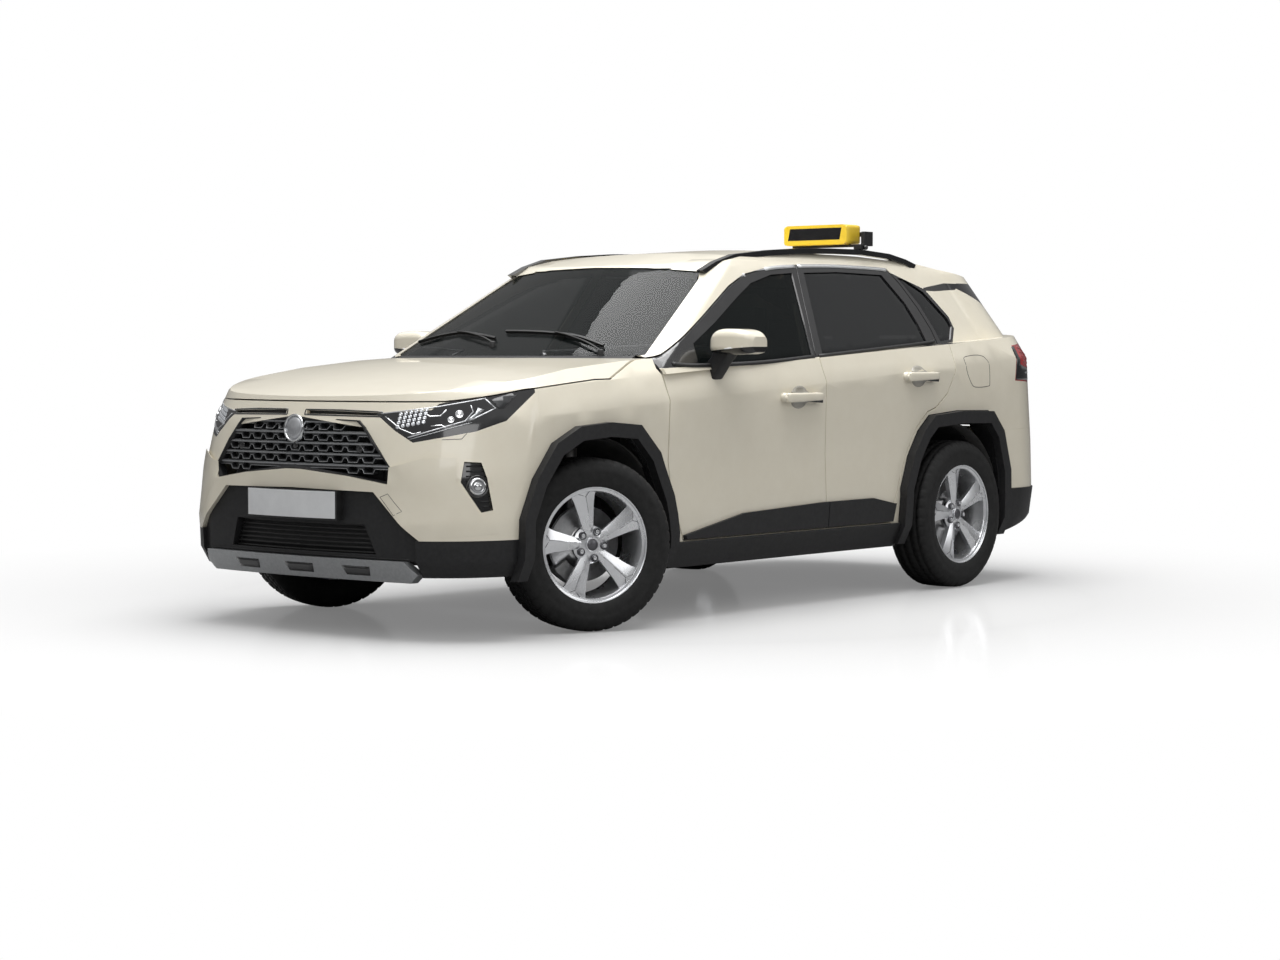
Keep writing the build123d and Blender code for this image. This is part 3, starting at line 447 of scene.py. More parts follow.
def on_side(y, z):
    # the left flank at (y, z) of the slanted side view
    ray = Vector((-1, -SLANT, 0))
    middle = Vector((REFERENCE_X, y, z))
    return on_skin(middle - ray * 0.6, ray, middle, (1, 0, 0))


def on_front(x, z):
    return on_skin((x, -RAY_START, z), (0, 1, 0), (x, -2.2, z), (0, -1, 0))


def on_rear(x, z):
    return on_skin((x, RAY_START, z), (0, -1, 0), (x, 2.2, z), (0, 1, 0))


def on_top(x, y):
    return on_skin((x, y, 3.0), (0, 0, -1), (x, y, 1.6), (0, 0, 1))


def on_corner(s, z):
    # seen towards the nose's left corner, with s measured across that line of sight
    across, along = 0.77, 0.64
    return on_skin((s * across + RAY_START * along, s * along - RAY_START * across, z), (-along, across, 0),
                   (s * across, s * along, z), (along, -across, 0))


# Wheels: tread, sidewall, five broad creased spokes, nuts in pockets, blank cap; painted shade lines the
# pockets and the creases
HALF_WIDTH = 0.1125
TYRE_R = 0.3635
LIP = 0.243
FACE_Z = HALF_WIDTH - 0.018
SPOKES = 5
SPOKE_ANGLE = 84


def tyre_shape():
    side = HALF_WIDTH
    half = [(0.2375, -side + 0.018), (0.250, -side + 0.0055), (0.262, -side + 0.0035),
            (0.266, -side + 0.0015),
            (0.285, -side), (0.303, -side), (0.306, -side - 0.0008), (0.322, -side + 0.0015),
            (0.334, -side + 0.0065), (0.3415, -side + 0.0095), (0.350, -side + 0.016),
            (0.3575, -side + 0.024),
            (0.3610, -side + 0.032)]
    columns = [(-0.045, False), (0.0, False), (0.045, False)]
    for g in (-0.066, -0.024, 0.024, 0.066):
        columns += [(g - 0.0062, False), (g - 0.0040, True), (g + 0.0040, True), (g + 0.0062, False)]
    profile = [(r, h, "side") for r, h in half]
    for h, deep in sorted(columns):
        crown_r = TYRE_R - 0.0022 * (h / 0.08) ** 2
        profile.append((crown_r - (0.0075 if deep else 0), h, "groove" if deep else "tread"))
    profile += [(r, -h, "side") for r, h in reversed(half)]
    count = 288
    n = len(profile)
    verts, faces = [], []
    for i in range(count):
        a = 2 * math.pi * i / count
        for r, h, kind in profile:
            cut = 0.0
            if kind == "tread":
                shoulder = abs(h) > 0.055
                if i % (6 if shoulder else 4) == 0:
                    cut = 0.0065 if shoulder else 0.004
            if kind == "side" and i % 6 == 0:
                cut = 0.0055 if r > 0.3495 else 0.0020 if 0.336 < r < 0.3495 else 0.0
            shift = 0.0 if kind == "side" else (h / 0.1) * 0.05 + 0.012 * math.sin(h * 60)
            verts.append(((r - cut) * math.cos(a + shift), (r - cut) * math.sin(a + shift), h))
    for i in range(count):
        j = (i + 1) % count
        for k in range(n - 1):
            faces.append((i * n + k, j * n + k, j * n + k + 1, i * n + k + 1))
    return verts, faces


def face_lathe(profile, count):
    # turned, with heights measured from the wheel's face
    return lathe([(r, FACE_Z + h) for r, h in profile], count)


def rim_shapes():
    back = -HALF_WIDTH
    # dark holds painted shade (nut pockets, spoke creases) and the cap's own dark face
    bright, dark = [], []
    bright.append(lathe([(LIP - 0.006, FACE_Z + 0.004), (LIP - 0.001, FACE_Z + 0.0065),
                         (LIP - 0.0015, FACE_Z + 0.001), (LIP - 0.006, FACE_Z - 0.003),
                         (LIP - 0.018, FACE_Z - 0.005), (LIP - 0.022, FACE_Z - 0.012),
                         (LIP - 0.026, FACE_Z - 0.07), (LIP - 0.030, back + 0.05),
                         (LIP - 0.022, back + 0.024),
                         (LIP - 0.010, back + 0.019), (LIP - 0.008, back + 0.021),
                         (LIP - 0.0075, FACE_Z - 0.004)], 160, closed=True))
    # radius, half width, height of the ridge and of the edges
    stations = [(0.034, 0.020, -0.030, -0.036), (0.060, 0.0225, -0.025, -0.033),
                (0.090, 0.028, -0.0185, -0.029),
                (0.130, 0.0355, -0.0125, -0.025), (0.170, 0.043, -0.0085, -0.021),
                (0.200, 0.051, -0.0065, -0.0175), (0.217, 0.0585, -0.006, -0.014),
                (0.2275, 0.070, -0.0065, -0.0085)]
    for k in range(SPOKES):
        turn = Matrix.Rotation(math.radians(SPOKE_ANGLE + 72 * k), 4, "Z")
        sections = []
        for r, w, ridge, edge in stations:
            under = FACE_Z + edge - 0.026
            sections.append([(r, -w * 0.86, under), (r, -w, FACE_Z + edge),
                             (r, -0.006, FACE_Z + ridge - 0.0012),
                             (r, 0.0, FACE_Z + ridge), (r, w, FACE_Z + edge), (r, w * 0.86, under)])
        bright.append(moved(strip(sections), turn))
        # crease line of the spoke, and its split towards the lip, drawn as thin dark lines of painted shade
        for crease in ([(0.075, -0.005, -0.0228), (0.15, -0.006, -0.0118), (0.205, -0.006, -0.0076),
                        (0.226, -0.030, -0.0068)], [(0.205, -0.006, -0.0076), (0.224, 0.030, -0.0066)]):
            dark.append(moved(tube([(x, y, FACE_Z + z) for x, y, z in crease], 0.0011, 5), turn))
    bright.append(face_lathe([(0.0001, -0.050), (0.078, -0.052), (0.080, -0.044), (0.066, -0.034),
                              (0.046, -0.0275), (0.034, -0.0265), (0.0001, -0.0262)], 60))
    for k in range(SPOKES):
        a = math.radians(SPOKE_ANGLE + 36 + 72 * k)
        at = Matrix.Translation((0.0575 * math.cos(a), 0.0575 * math.sin(a), 0))
        # dark cup round each nut: painted shade in its pocket
        dark.append(moved(face_lathe([(0.0001, -0.0335), (0.0165, -0.0335), (0.0165, -0.022),
                                      (0.0135, -0.022),
                                      (0.0135, -0.033)], 24), at))
        bright.append(moved(face_lathe([(0.0105, -0.034), (0.0105, -0.022), (0.0085, -0.0175),
                                        (0.0001, -0.0165)], 6), at))
    # dark face of the blank cap: its own colour
    dark.append(face_lathe([(0.0001, -0.0195), (0.024, -0.0200), (0.0255, -0.0235), (0.0255, -0.030)], 40))
    bright.append(face_lathe([(0.0255, -0.028), (0.0285, -0.0255), (0.0300, -0.0205), (0.0285, -0.0185),
                              (0.0250, -0.0195)], 40))
    return join_shapes(bright), join_shapes(dark)


FRONT_AXLE_Y, REAR_AXLE_Y = -1.375, 1.315
KINGPIN_X = 0.7575
STEER = math.radians(-22.3)
tyre = tyre_shape()
rim_bright, rim_shade_and_cap = rim_shapes()
rotor = lathe([(0.062, -0.026), (0.158, -0.026), (0.158, -0.016), (0.150, -0.016), (0.150, -0.012),
               (0.158, -0.012), (0.158, -0.002), (0.085, -0.002), (0.082, 0.020), (0.062, 0.022)], 90,
               closed=True)
CALIPER = ((0.100, -0.052), (0.176, -0.052), (0.183, -0.014), (0.176, 0.018), (0.112, 0.018), (0.112, 0.0005),
           (0.164, 0.0005), (0.164, -0.0285), (0.100, -0.0285))
for place, x, y, sign in (("front_left", 0.8025, FRONT_AXLE_Y, 1), ("front_right", -0.8025, FRONT_AXLE_Y, -1),
                          ("rear_left", 0.8125, REAR_AXLE_Y, 1), ("rear_right", -0.8125, REAR_AXLE_Y, -1)):
    steered = place.startswith("front")
    stand = Matrix.Translation((x, y, TYRE_R)) @ Matrix.Rotation(math.radians(90 * sign), 4, "Y")
    # on the left the turn about Y leaves the spokes' start pointing down
    stand = stand @ Matrix.Rotation(math.radians(180 if sign > 0 else 0), 4, "Z")
    if steered:
        pin = Matrix.Translation((sign * KINGPIN_X, y, 0))
        stand = pin @ Matrix.Rotation(STEER, 4, "Z") @ pin.inverted() @ stand
    body = "wheel_" + place
    rubber = mesh_piece("tyre_tread_" + place, *tyre, RUBBER, body, turn=stand)
    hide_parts("tyre_" + place)
    spokes = mesh_piece("rim_spokes_" + place, *rim_bright, ALLOY, body, turn=stand, edge=0.0008)
    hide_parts("rim_" + place)
    # painted shade in the nut pockets and spoke creases, with the cap's dark face
    mesh_piece("rim_shade_and_cap_" + place, *rim_shade_and_cap, ALLOY_SHADE_AND_CAP, body, turn=stand)
    mesh_piece("brake_disc_" + place, *rotor, DISC, body, turn=stand)
    holder = "knuckle_" + place.split("_")[1] if steered else "chassis"
    caliper = []
    for i in range(9):
        a = math.radians((150 if steered else 30) - 26 + 52 * i / 8)
        caliper.append([(r * math.cos(a), r * math.sin(a), h) for r, h in CALIPER])
    mesh_piece("brake_caliper_" + place, *strip(caliper), CAST, holder, turn=stand, edge=0.003)

# Trim laid along the skin


def ribbon(points, width, lift, thick):
    # a strip along points on the skin, each a (place, normal) pair
    sections = []
    for i, (p, n) in enumerate(points):
        a = points[max(i - 1, 0)][0]
        b = points[min(i + 1, len(points) - 1)][0]
        half = n.cross((b - a).normalized()).normalized() * width / 2
        low, high = p - n * thick, p + n * lift
        sections.append([low - half, high - half, high + half, low + half])
    return strip(sections)


def in_outline(x, y, outline):
    found = False
    for (ax, ay), (bx, by) in zip(outline, outline[1:] + outline[:1]):
        if (ay > y) != (by > y) and x < (bx - ax) * (y - ay) / (by - ay) + ax:
            found = not found
    return found


def slab(top, low, cells):
    # two sheets with the same cells, joined round their rims
    m = len(top)
    faces = [tuple(f) for f in cells] + [tuple(i + m for i in reversed(f)) for f in cells]
    edges = {(f[i], f[(i + 1) % len(f)]): True for f in cells for i in range(len(f))}
    faces += [(b, a, a + m, b + m) for a, b in edges if (b, a) not in edges]
    return top + low, faces


def patch(outline, project, lift, thick=0.001, step=0.02):
    # a panel that covers an outline and follows the skin, meshed by a grid inside its rim
    pts = [Vector(p) for p in outline]
    rim = []
    for p, q in zip(pts, pts[1:] + pts[:1]):
        parts = max(1, int((q - p).length / step))
        rim.extend(p.lerp(q, k / parts) for k in range(parts))
    n = len(rim)
    grid_points = []
    x = min(p.x for p in rim) + step / 2
    while x < max(p.x for p in rim):
        y = min(p.y for p in rim) + step / 2
        while y < max(p.y for p in rim):
            q = Vector((x, y))
            if in_outline(x, y, rim) and min((q - r).length for r in rim) > step * 0.45:
                grid_points.append(q)
            y += step
        x += step
    edges = [(i, (i + 1) % n) for i in range(n)]
    flat, _, cells, _, _, _ = delaunay_2d_cdt(rim + grid_points, edges, [tuple(range(n))], 1, 1e-6)
    laid = [project(p.x, p.y) for p in flat]
    return slab([p + n * lift for p, n in laid], [p - n * thick for p, n in laid], cells)


def traced(points, on_surface, fewest):
    # points along straight spans, laid on the skin
    laid = []
    for (a0, b0), (a1, b1) in zip(points, points[1:]):
        parts = max(fewest, int(math.hypot(a1 - a0, b1 - b0) / 0.02))
        for t in [k / parts for k in range(parts)]:
            laid.append(on_surface(a0 + (a1 - a0) * t, b0 + (b1 - b0) * t))
    laid.append(on_surface(*points[-1]))
    return laid


def corner_line(name, points, width, mat, lift=0.002):
    pair(name, ribbon(traced(points, on_corner, 2), width, lift, 0.001), mat)


def front_line(name, points, width, mat, lift):
    mesh_piece(name, *ribbon(traced(points, on_front, 1), width, lift, 0.001), mat, "chassis")


def seated(shape, place, normal):
    return moved(shape, Matrix.Translation(place) @ normal.to_track_quat("Z", "X").to_matrix().to_4x4())


# Bright strip over the windows, door by door, and a black seal along the belt
for name, points, mat, body in (
        ("bright_strip_front", [(-0.868, 1.150), (-0.496, 1.317), (-0.193, 1.457), (-0.033, 1.513),
                                (0.196, 1.551), (0.396, 1.564)], BRIGHT, "door_front_left"),
        ("bright_strip_rear", [(0.424, 1.566), (0.731, 1.573), (1.060, 1.570), (1.168, 1.566)], BRIGHT,
         "door_rear_left"),
        ("belt_seal_front", [(-0.866, 1.112), (-0.690, 1.104), (-0.240, 1.116), (0.184, 1.142)], SEAL,
         "door_front_left"),
        ("belt_seal_rear", [(0.226, 1.144), (0.800, 1.180), (1.228, 1.208), (1.300, 1.216)], SEAL,
         "door_rear_left")):
    laid = []
    for p in smooth_line([(y, z, 0) for y, z in points], 6):
        place, normal = on_side(p.x, p.y)
        if not laid or (place - laid[-1][0]).length >= 1e-4:
            laid.append((place, normal))
    pair(name, ribbon(laid, 0.017, 0.005, 0.002), mat, body)

# Headlamp: light strips, crystal cells and chrome brackets under a black cover
for name, points, width, mat in (
        ("lamp_top_strip", [(-1.080, 0.916), (-0.850, 0.944), (-0.660, 0.977)], 0.0040, LAMP_LINE),
        ("lamp_outer_chevron", [(-0.662, 0.975), (-0.620, 0.938), (-0.712, 0.893)], 0.0048, LAMP_LINE),
        ("lamp_inner_chevron", [(-0.718, 0.950), (-0.708, 0.925), (-0.738, 0.888), (-0.968, 0.822)], 0.0048,
         LAMP_LINE),
        ("lamp_lower_strip", [(-0.712, 0.882), (-0.962, 0.814)], 0.003, SILVER),
        ("lamp_inner_edge", [(-1.062, 0.905), (-0.998, 0.856), (-0.948, 0.836), (-0.915, 0.843)], 0.004,
         CHROME),
        ("lamp_bracket_upper", [(-0.905, 0.922), (-0.880, 0.906), (-0.838, 0.908), (-0.814, 0.932)], 0.005,
         CHROME),
        ("lamp_bracket_lower", [(-0.875, 0.868), (-0.832, 0.872), (-0.808, 0.856)], 0.004, CHROME)):
    corner_line(name, points, width, mat)
crystal = lathe([(0.0090, -0.001), (0.0088, 0.0015), (0.0050, 0.0035), (0.0001, 0.0022)], 6)
cells = [seated(crystal, *on_corner(-1.010 + 0.021 * i + 0.004 * j, 0.864 + 0.0165 * j + 0.0040 * i))
         for i in range(6) for j in range(4)]
pair("lamp_crystals", join_shapes(cells), CRYSTAL, smooth=False)
lenses = []
for s, z, r in ((-0.762, 0.915, 0.017), (-0.795, 0.893, 0.014)):
    lens = lathe([(r, -0.001), (r, 0.002), (r * 0.85, 0.0035), (r * 0.8, 0.0015), (r * 0.4, 0.0045),
                  (0.0001, 0.0055)], 20)
    lenses.append(seated(lens, *on_corner(s, z)))
pair("lamp_projector", join_shapes(lenses), CHROME)
pair("lamp_outer_reflector", patch([(-0.640, 0.972), (-0.520, 1.010), (-0.585, 0.938), (-0.606, 0.935)],
                                   on_corner, 0.0015), GRILLE_GREY)
pair("lamp_inner_reflector", patch([(-0.690, 0.940), (-0.664, 0.932), (-0.720, 0.886), (-0.740, 0.888),
                                    (-0.700, 0.918)], on_corner, 0.0015), SILVER)

# Bumper cheek: a facet that stands prouder towards its upper edge, which forms a ledge beside the grille
CHEEK = [(-1.040, 0.700), (-0.904, 0.738), (-0.768, 0.742), (-0.772, 0.648), (-0.668, 0.510), (-0.600, 0.440),
         (-0.832, 0.424), (-0.950, 0.520), (-1.050, 0.628)]
CHEEK_RISE = 0.013


def on_cheek(s, z):
    p, n = on_corner(s, z)
    low_edge = 0.424 + max(0.0, -0.832 - s) * 0.92
    top_edge = 0.738 - max(0.0, -0.904 - s) * 0.30
    share = min(max((z - low_edge) / (top_edge - low_edge), 0.0), 1.0)
    return p + n * (CHEEK_RISE * share ** 1.5), n


pair("bumper_cheek", patch(CHEEK, on_cheek, 0.0006, 0.002, step=0.03), PAINT, edge=0.003)

# Fog lamp: ribbed black insert with a round lamp
ribs = []
for k in range(9):
    z = 0.548 + 0.020 * k
    left = -0.754 + max(0.0, (0.645 - z)) * 0.67 + 0.020
    right = -0.632 - max(0.0, (z - 0.60)) * 0.28 - 0.006
    if right - left >= 0.02:
        ribs.append(ribbon([on_corner(left + (right - left) * t / 4, z) for t in range(5)], 0.006, 0.003,
                           0.002))
pair("fog_ribs", join_shapes(ribs), PLASTIC)
fog_seat = on_corner(-0.688, 0.628)
fog_ring = lathe([(0.047, -0.004), (0.046, 0.006), (0.040, 0.009), (0.036, 0.004)], 40)
fog_lens = lathe([(0.037, 0.000), (0.036, 0.007), (0.024, 0.011), (0.018, 0.007), (0.012, 0.012),
                  (0.0001, 0.0135)], 32)
pair("fog_ring", seated(fog_ring, *fog_seat), GLOSS_BLACK)
pair("fog_lens", seated(fog_lens, *fog_seat), CHROME)

# Washer flap and towing cover outlines
corner_line("washer_flap", [(-0.830, 0.814), (-0.752, 0.817), (-0.732, 0.838)], 0.0022, SEAL, 0.0006)
front_line("tow_cover", [(0.478, 0.584), (0.548, 0.512), (0.584, 0.530), (0.516, 0.598), (0.478, 0.584)],
           0.0018, SEAL, 0.0006)

# Grille: rows of hexagonal cells hung on bright-edged bars, in a black frame
GRILLE_OUT = [(0.0, 0.898), (0.345, 0.888), (0.377, 0.862), (0.430, 0.800), (0.534, 0.682), (0.509, 0.636),
              (0.300, 0.666), (0.0, 0.688)]
GRILLE_ROWS, TOP_ROW_Z, ROW_PITCH, CELL_PITCH = 5, 0.882, 0.0435, 0.080
# One cell about the middle of its upper edge: plate, hole and the bright line under it
CELL = [(-0.040, 0), (0.040, 0), (0.040, -0.015), (0.032, -0.015), (0.022, -0.033), (-0.022, -0.033),
        (-0.032, -0.015), (-0.040, -0.015)]
CELL_HOLE = [(-0.026, -0.017), (-0.019, -0.0075), (0.019, -0.0075), (0.026, -0.017), (0.017, -0.028),
             (-0.017, -0.028)]
CELL_LINE = [(-0.040, -0.0152), (-0.032, -0.0152), (-0.022, -0.0332), (0.022, -0.0332), (0.032, -0.0152),
             (0.040, -0.0152)]


def half_width(z):
    if z > 0.862:
        return 0.372 - (z - 0.862) * 0.9
    return min(0.377 + (0.862 - z) * 0.87, 0.530)


def nose_y(x, z):
    # the nose's form beside the grille, so that its openings don't matter
    share = min(abs(x) / 0.52, 1.0)
    return -2.297 + 0.047 * share ** 2 + (0.012 if z > 0.85 else 0)


def plate_with_hole(outer, hole):
    pts = [Vector(p) for p in outer + hole]
    n, m = len(outer), len(hole)
    edges = [(i, (i + 1) % n) for i in range(n)] + [(n + i, n + (i + 1) % m) for i in range(m)]
    flat, _, found, _, _, _ = delaunay_2d_cdt(pts, edges, [tuple(range(n))], 1, 1e-7)
    solid = []
    for f in found:
        middle = sum((flat[i] for i in f), Vector((0, 0))) / len(f)
        if not in_outline(middle.x, middle.y, hole):
            solid.append(f)
    front = [Vector((p.x, nose_y(p.x, p.y) + 0.016, p.y)) for p in flat]
    back = [Vector((p.x, nose_y(p.x, p.y) + 0.016 + 0.022, p.y)) for p in flat]
    return slab(front, back, solid)


plates, bright_edges = [], []
for row in range(GRILLE_ROWS):
    top = TOP_ROW_Z - ROW_PITCH * row
    low = top - 0.034
    row_half = half_width(top - 0.006) - 0.006
    narrower = min(row_half, half_width(low) - 0.006)
    for column in range(-7, 8):
        x0 = CELL_PITCH * column
        if abs(x0) - 0.02 > row_half or (row == 0 and abs(x0) < 0.05):
            continue
        whole = abs(x0) + 0.034 < narrower
        if low < 0.690 - abs(x0) * 0.08 + 0.004 and abs(x0) < 0.30:
            whole = whole and low > 0.676
        if whole:
            outer, hole, line = [[(x0 + u, top + v) for u, v in form] for form in (CELL, CELL_HOLE,
                                                                                   CELL_LINE)]
        else:
            a = max(x0 - 0.040, -row_half)
            b = min(x0 + 0.040, row_half)
            if b - a < 0.006:
                continue
            outer = [(a, top), (b, top), (b, top - 0.015), (a, top - 0.015)]
            hole = [(a + (b - a) * 0.3, top - 0.011), (a + (b - a) * 0.7, top - 0.011),
                    (a + (b - a) * 0.5, top - 0.0112)]
            line = [(a, top - 0.0152), (b, top - 0.0152)]
        plates.append(plate_with_hole(outer, hole))
        bright_edges.append(tube([(x, nose_y(x, z) + 0.0155, z) for x, z in line], 0.0011, 5))
    bar = []
    for x in [-row_half + 2 * row_half * k / 24 for k in range(25)]:
        y = nose_y(x, top) + 0.0125
        bar.append([Vector((x, y, top - 0.0055)), Vector((x, y, top)), Vector((x, y + 0.012, top + 0.0045)),
                    Vector((x, y + 0.012, top - 0.0055))])
    bright_edges.append(strip(bar))
grille_plate = mesh_piece("grille_cells", *join_shapes(plates), GRILLE_GREY, "chassis", smooth=False)
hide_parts("grille")
mesh_piece("grille_bright_edges", *join_shapes(bright_edges), SILVER, "chassis", smooth=False)
frame_ring = []
for x, z in GRILLE_OUT + [(-x, z) for x, z in reversed(GRILLE_OUT) if x > 0.001]:
    d = Vector((x, z - 0.78)).normalized()
    frame_ring.append([Vector((x + d.x * off, nose_y(x, z) + dy, z + d.y * off)) for off, dy in (
        (0.003, 0.004), (0.003, 0.040), (-0.018, 0.040), (-0.016, 0.012), (-0.004, 0.002))])
mesh_piece("grille_frame", *strip(frame_ring, closed_ring=True), PLASTIC, "chassis", smooth=False)
fins = []
for z in [0.650 + 0.0055 * k for k in range(46)]:
    fins.append(box_shape(-0.44, 0.44, -2.212, -2.200, z, z + 0.0022))
fins.append(box_shape(-0.45, 0.45, -2.202, -2.180, 0.640, 0.905))
mesh_piece("radiator_core", *join_shapes(fins), SEAL, "chassis", smooth=False)
disc_turn = Matrix.Translation((0, nose_y(0, 0.852) + 0.010, 0.852)) @ Matrix.Rotation(math.radians(84), 4,
                                                                                       "X")
mesh_piece("nose_disc_ring", *lathe([(0.048, 0.000), (0.049, 0.016), (0.055, 0.020), (0.058, 0.014),
                                     (0.058, 0.000)], 64), CHROME, "chassis", turn=disc_turn)
mesh_piece("nose_disc", *lathe([(0.0001, 0.0195), (0.030, 0.0185), (0.049, 0.0140), (0.049, 0.002)], 64),
           SATIN, "chassis", turn=disc_turn)
sensors = []
for x, z, r in ((0.0, 0.783, 0.010), (0.352, 0.776, 0.012), (-0.352, 0.776, 0.012)):
    at = Matrix.Translation((x, nose_y(x, z) + 0.016, z)) @ Matrix.Rotation(math.radians(90), 4, "X")
    sensors.append(moved(lathe([(r * 1.5, -0.004), (r * 1.45, 0.002), (r, 0.004), (r * 0.6, 0.0035),
                                (0.0001, 0.006)], 24), at))
mesh_piece("nose_sensors", *join_shapes(sensors), GLOSS_BLACK, "chassis")

# Slits over the grille: a black lip round each opening and a dark liner behind it
SLIT_RIM = [(0.052, 0.909), (0.054, 0.929), (0.250, 0.9285), (0.442, 0.922), (0.452, 0.913), (0.446, 0.9045),
            (0.250, 0.907)]
for sign, tag in ((1, "left"), (-1, "right")):
    front_line("nose_slit_" + tag, [(sign * x, z) for x, z in SLIT_RIM + SLIT_RIM[:1]], 0.0060, GLOSS_BLACK,
               0.0012)
    liner = []
    for x in [sign * (0.050 + 0.404 * k / 14) for k in range(15)]:
        y = on_front(x, 0.934)[0].y + 0.014
        liner.append([Vector((x, y, 0.9045)), Vector((x, y, 0.9315)), Vector((x, y + 0.004, 0.9315)),
                      Vector((x, y + 0.004, 0.9045))])
    mesh_piece("slit_liner_" + tag, *strip(liner), SEAL, "chassis", smooth=False)

# Number plate and its carrier, both bowed with the bumper; intake slats and the skid plate's pockets


def bowed(half, y_middle, z0, z1, depth, narrowing):
    sections = []
    for x in [-half + 2 * half * k / 12 for k in range(13)]:
        y = y_middle + 0.018 * (abs(x) / half) ** 2
        sections.append([Vector((x, y, z0)), Vector((x, y, z1)), Vector((x, y + depth, z1 - narrowing[1])),
                         Vector((x, y + depth, z0 + narrowing[0]))])
    return strip(sections)


mesh_piece("front_plate_blank", *bowed(0.260, -2.327, 0.490, 0.600, 0.003, (0, 0)), PLATE, "chassis",
           edge=0.001)
mesh_piece("front_plate_carrier", *bowed(0.268, -2.324, 0.482, 0.606, 0.050, (0.004, 0.006)), SEAL, "chassis",
           edge=0.001)
slats = []
for z in [0.356 + 0.0185 * k for k in range(7)]:
    half = 0.420 - 0.06 * max(0.0, (z - 0.35) / 0.12)
    for sign in (-1, 1):
        xs = [sign * half * t / 6 for t in range(7)]
        slats.append(tube([(x, nose_y(x, z) + 0.040, z) for x in xs], 0.0040, 6))
mesh_piece("intake_slats", *join_shapes(slats), SEAL, "chassis")
for tag, x0, x1 in (("middle", -0.085, 0.085), ("left", 0.250, 0.400), ("right", -0.400, -0.250)):
    pocket = patch([(x0, 0.300), (x1, 0.300), (x1 * 0.92 + x0 * 0.08, 0.262), (x0 * 0.92 + x1 * 0.08, 0.262)],
                   on_front, 0.0015, step=0.03)
    mesh_piece("skid_pocket_" + tag, *pocket, GLOSS_BLACK, "chassis")
front_line("fascia_lip", [(-0.600, 0.335), (-0.300, 0.336), (0.0, 0.336), (0.300, 0.336), (0.600, 0.335)],
           0.006, SEAL, 0.002)

# Mirrors: black foot, indicator strip that carries a painted glint, glass; sections of the housing are x,
# middle y, middle z, width, height
MIRROR = [(0.858, -0.575, 1.192, 0.090, 0.060), (0.890, -0.578, 1.205, 0.132, 0.096),
          (0.985, -0.582, 1.208, 0.150, 0.112), (1.062, -0.580, 1.204, 0.140, 0.100),
          (1.096, -0.572, 1.196, 0.096, 0.066)]
BORDER_IN, BORDER_OUT = 1.168, 1.186
FOOT = [(0.836, 1.034), (0.866, 1.034), (0.900, 1.076), (0.938, 1.126), (0.972, 1.160), (0.968, 1.176),
        (0.886, 1.183), (0.860, 1.142), (0.836, 1.114)]
FOOT_MIDDLE = Vector((0.895, 1.12))


def mirror_section(x):
    for a, b in zip(MIRROR, MIRROR[1:]):
        if a[0] <= x <= b[0]:
            t = (x - a[0]) / (b[0] - a[0])
            return [p + (q - p) * t for p, q in zip(a, b)]
    return list(MIRROR[-1])


foot = []
for y, shrink in ((-0.627, 0.010), (-0.622, 0.003), (-0.608, -0.0025), (-0.570, -0.0025), (-0.557, 0.003),
                  (-0.552, 0.010)):
    ring = []
    for corner in FOOT:
        d = Vector(corner) - FOOT_MIDDLE
        q = FOOT_MIDDLE + d * (max(d.length - shrink, 0.002) / d.length)
        ring.append(Vector((q.x, y, q.y)))
    foot.append(ring)
pair("mirror_foot", strip(foot), PLASTIC, "door_front_left", edge=0.002)
# indicator strip along the lower edge, drawn white and glowing: a painted glint on a real lens
glint = []
for k in range(13):
    x, y, _, wide, _ = mirror_section(0.962 + 0.126 * k / 12)
    low = BORDER_IN + (BORDER_OUT - BORDER_IN) * (x - 0.858) / 0.238
    high = low + 0.0035 + 0.0055 * k / 12
    face = y - (wide / 2 - 0.0005 - 0.003 * max(k - 9, 0))
    glint.append([Vector((x, face - 0.0022, low - 0.001)), Vector((x, face - 0.0022, high)),
                  Vector((x, face + 0.006, high)), Vector((x, face + 0.006, low - 0.001))])
pair("mirror_indicator", strip(glint), GLINT_LENS, "door_front_left")
pane = [Vector((0.977 + u, -0.5065 + (0.0012 if abs(u) < 0.07 else 0), 1.206 + v))
        for u, v in rounded(0.178, 0.078, 0.4, 8)]
pair("mirror_glass", strip([[p + Vector((0, -0.006, 0)) for p in pane], pane]), CHROME, "door_front_left",
     smooth=False)
surround = [Vector((0.977 + u, -0.5075, 1.206 + v)) for u, v in rounded(0.192, 0.090, 0.42, 8)]
pair("mirror_back", strip([[p + Vector((0, -0.020, 0)) for p in surround], surround]), PLASTIC,
     "door_front_left", smooth=False)

# Door handles: a rounded bar on two feet, finger cups above and below drawn as patches of painted shade, a
# black wedge behind
# darker ivory for the finger cups: painted shade standing in for their recesses, which are not modelled
PAINTED_CUP_SHADE = surface("cup_shade", (0.33, 0.31, 0.265), (0.38, 0.36, 0.31), 0.35, coat=0.6, scale=20.0)


def end_size(t):
    # full size along the bar, rounded off over its last part
    return min(1.0, math.sqrt(max(0.0, 1 - (1 - min(t / 0.09, 1)) ** 2)) + 0.02)


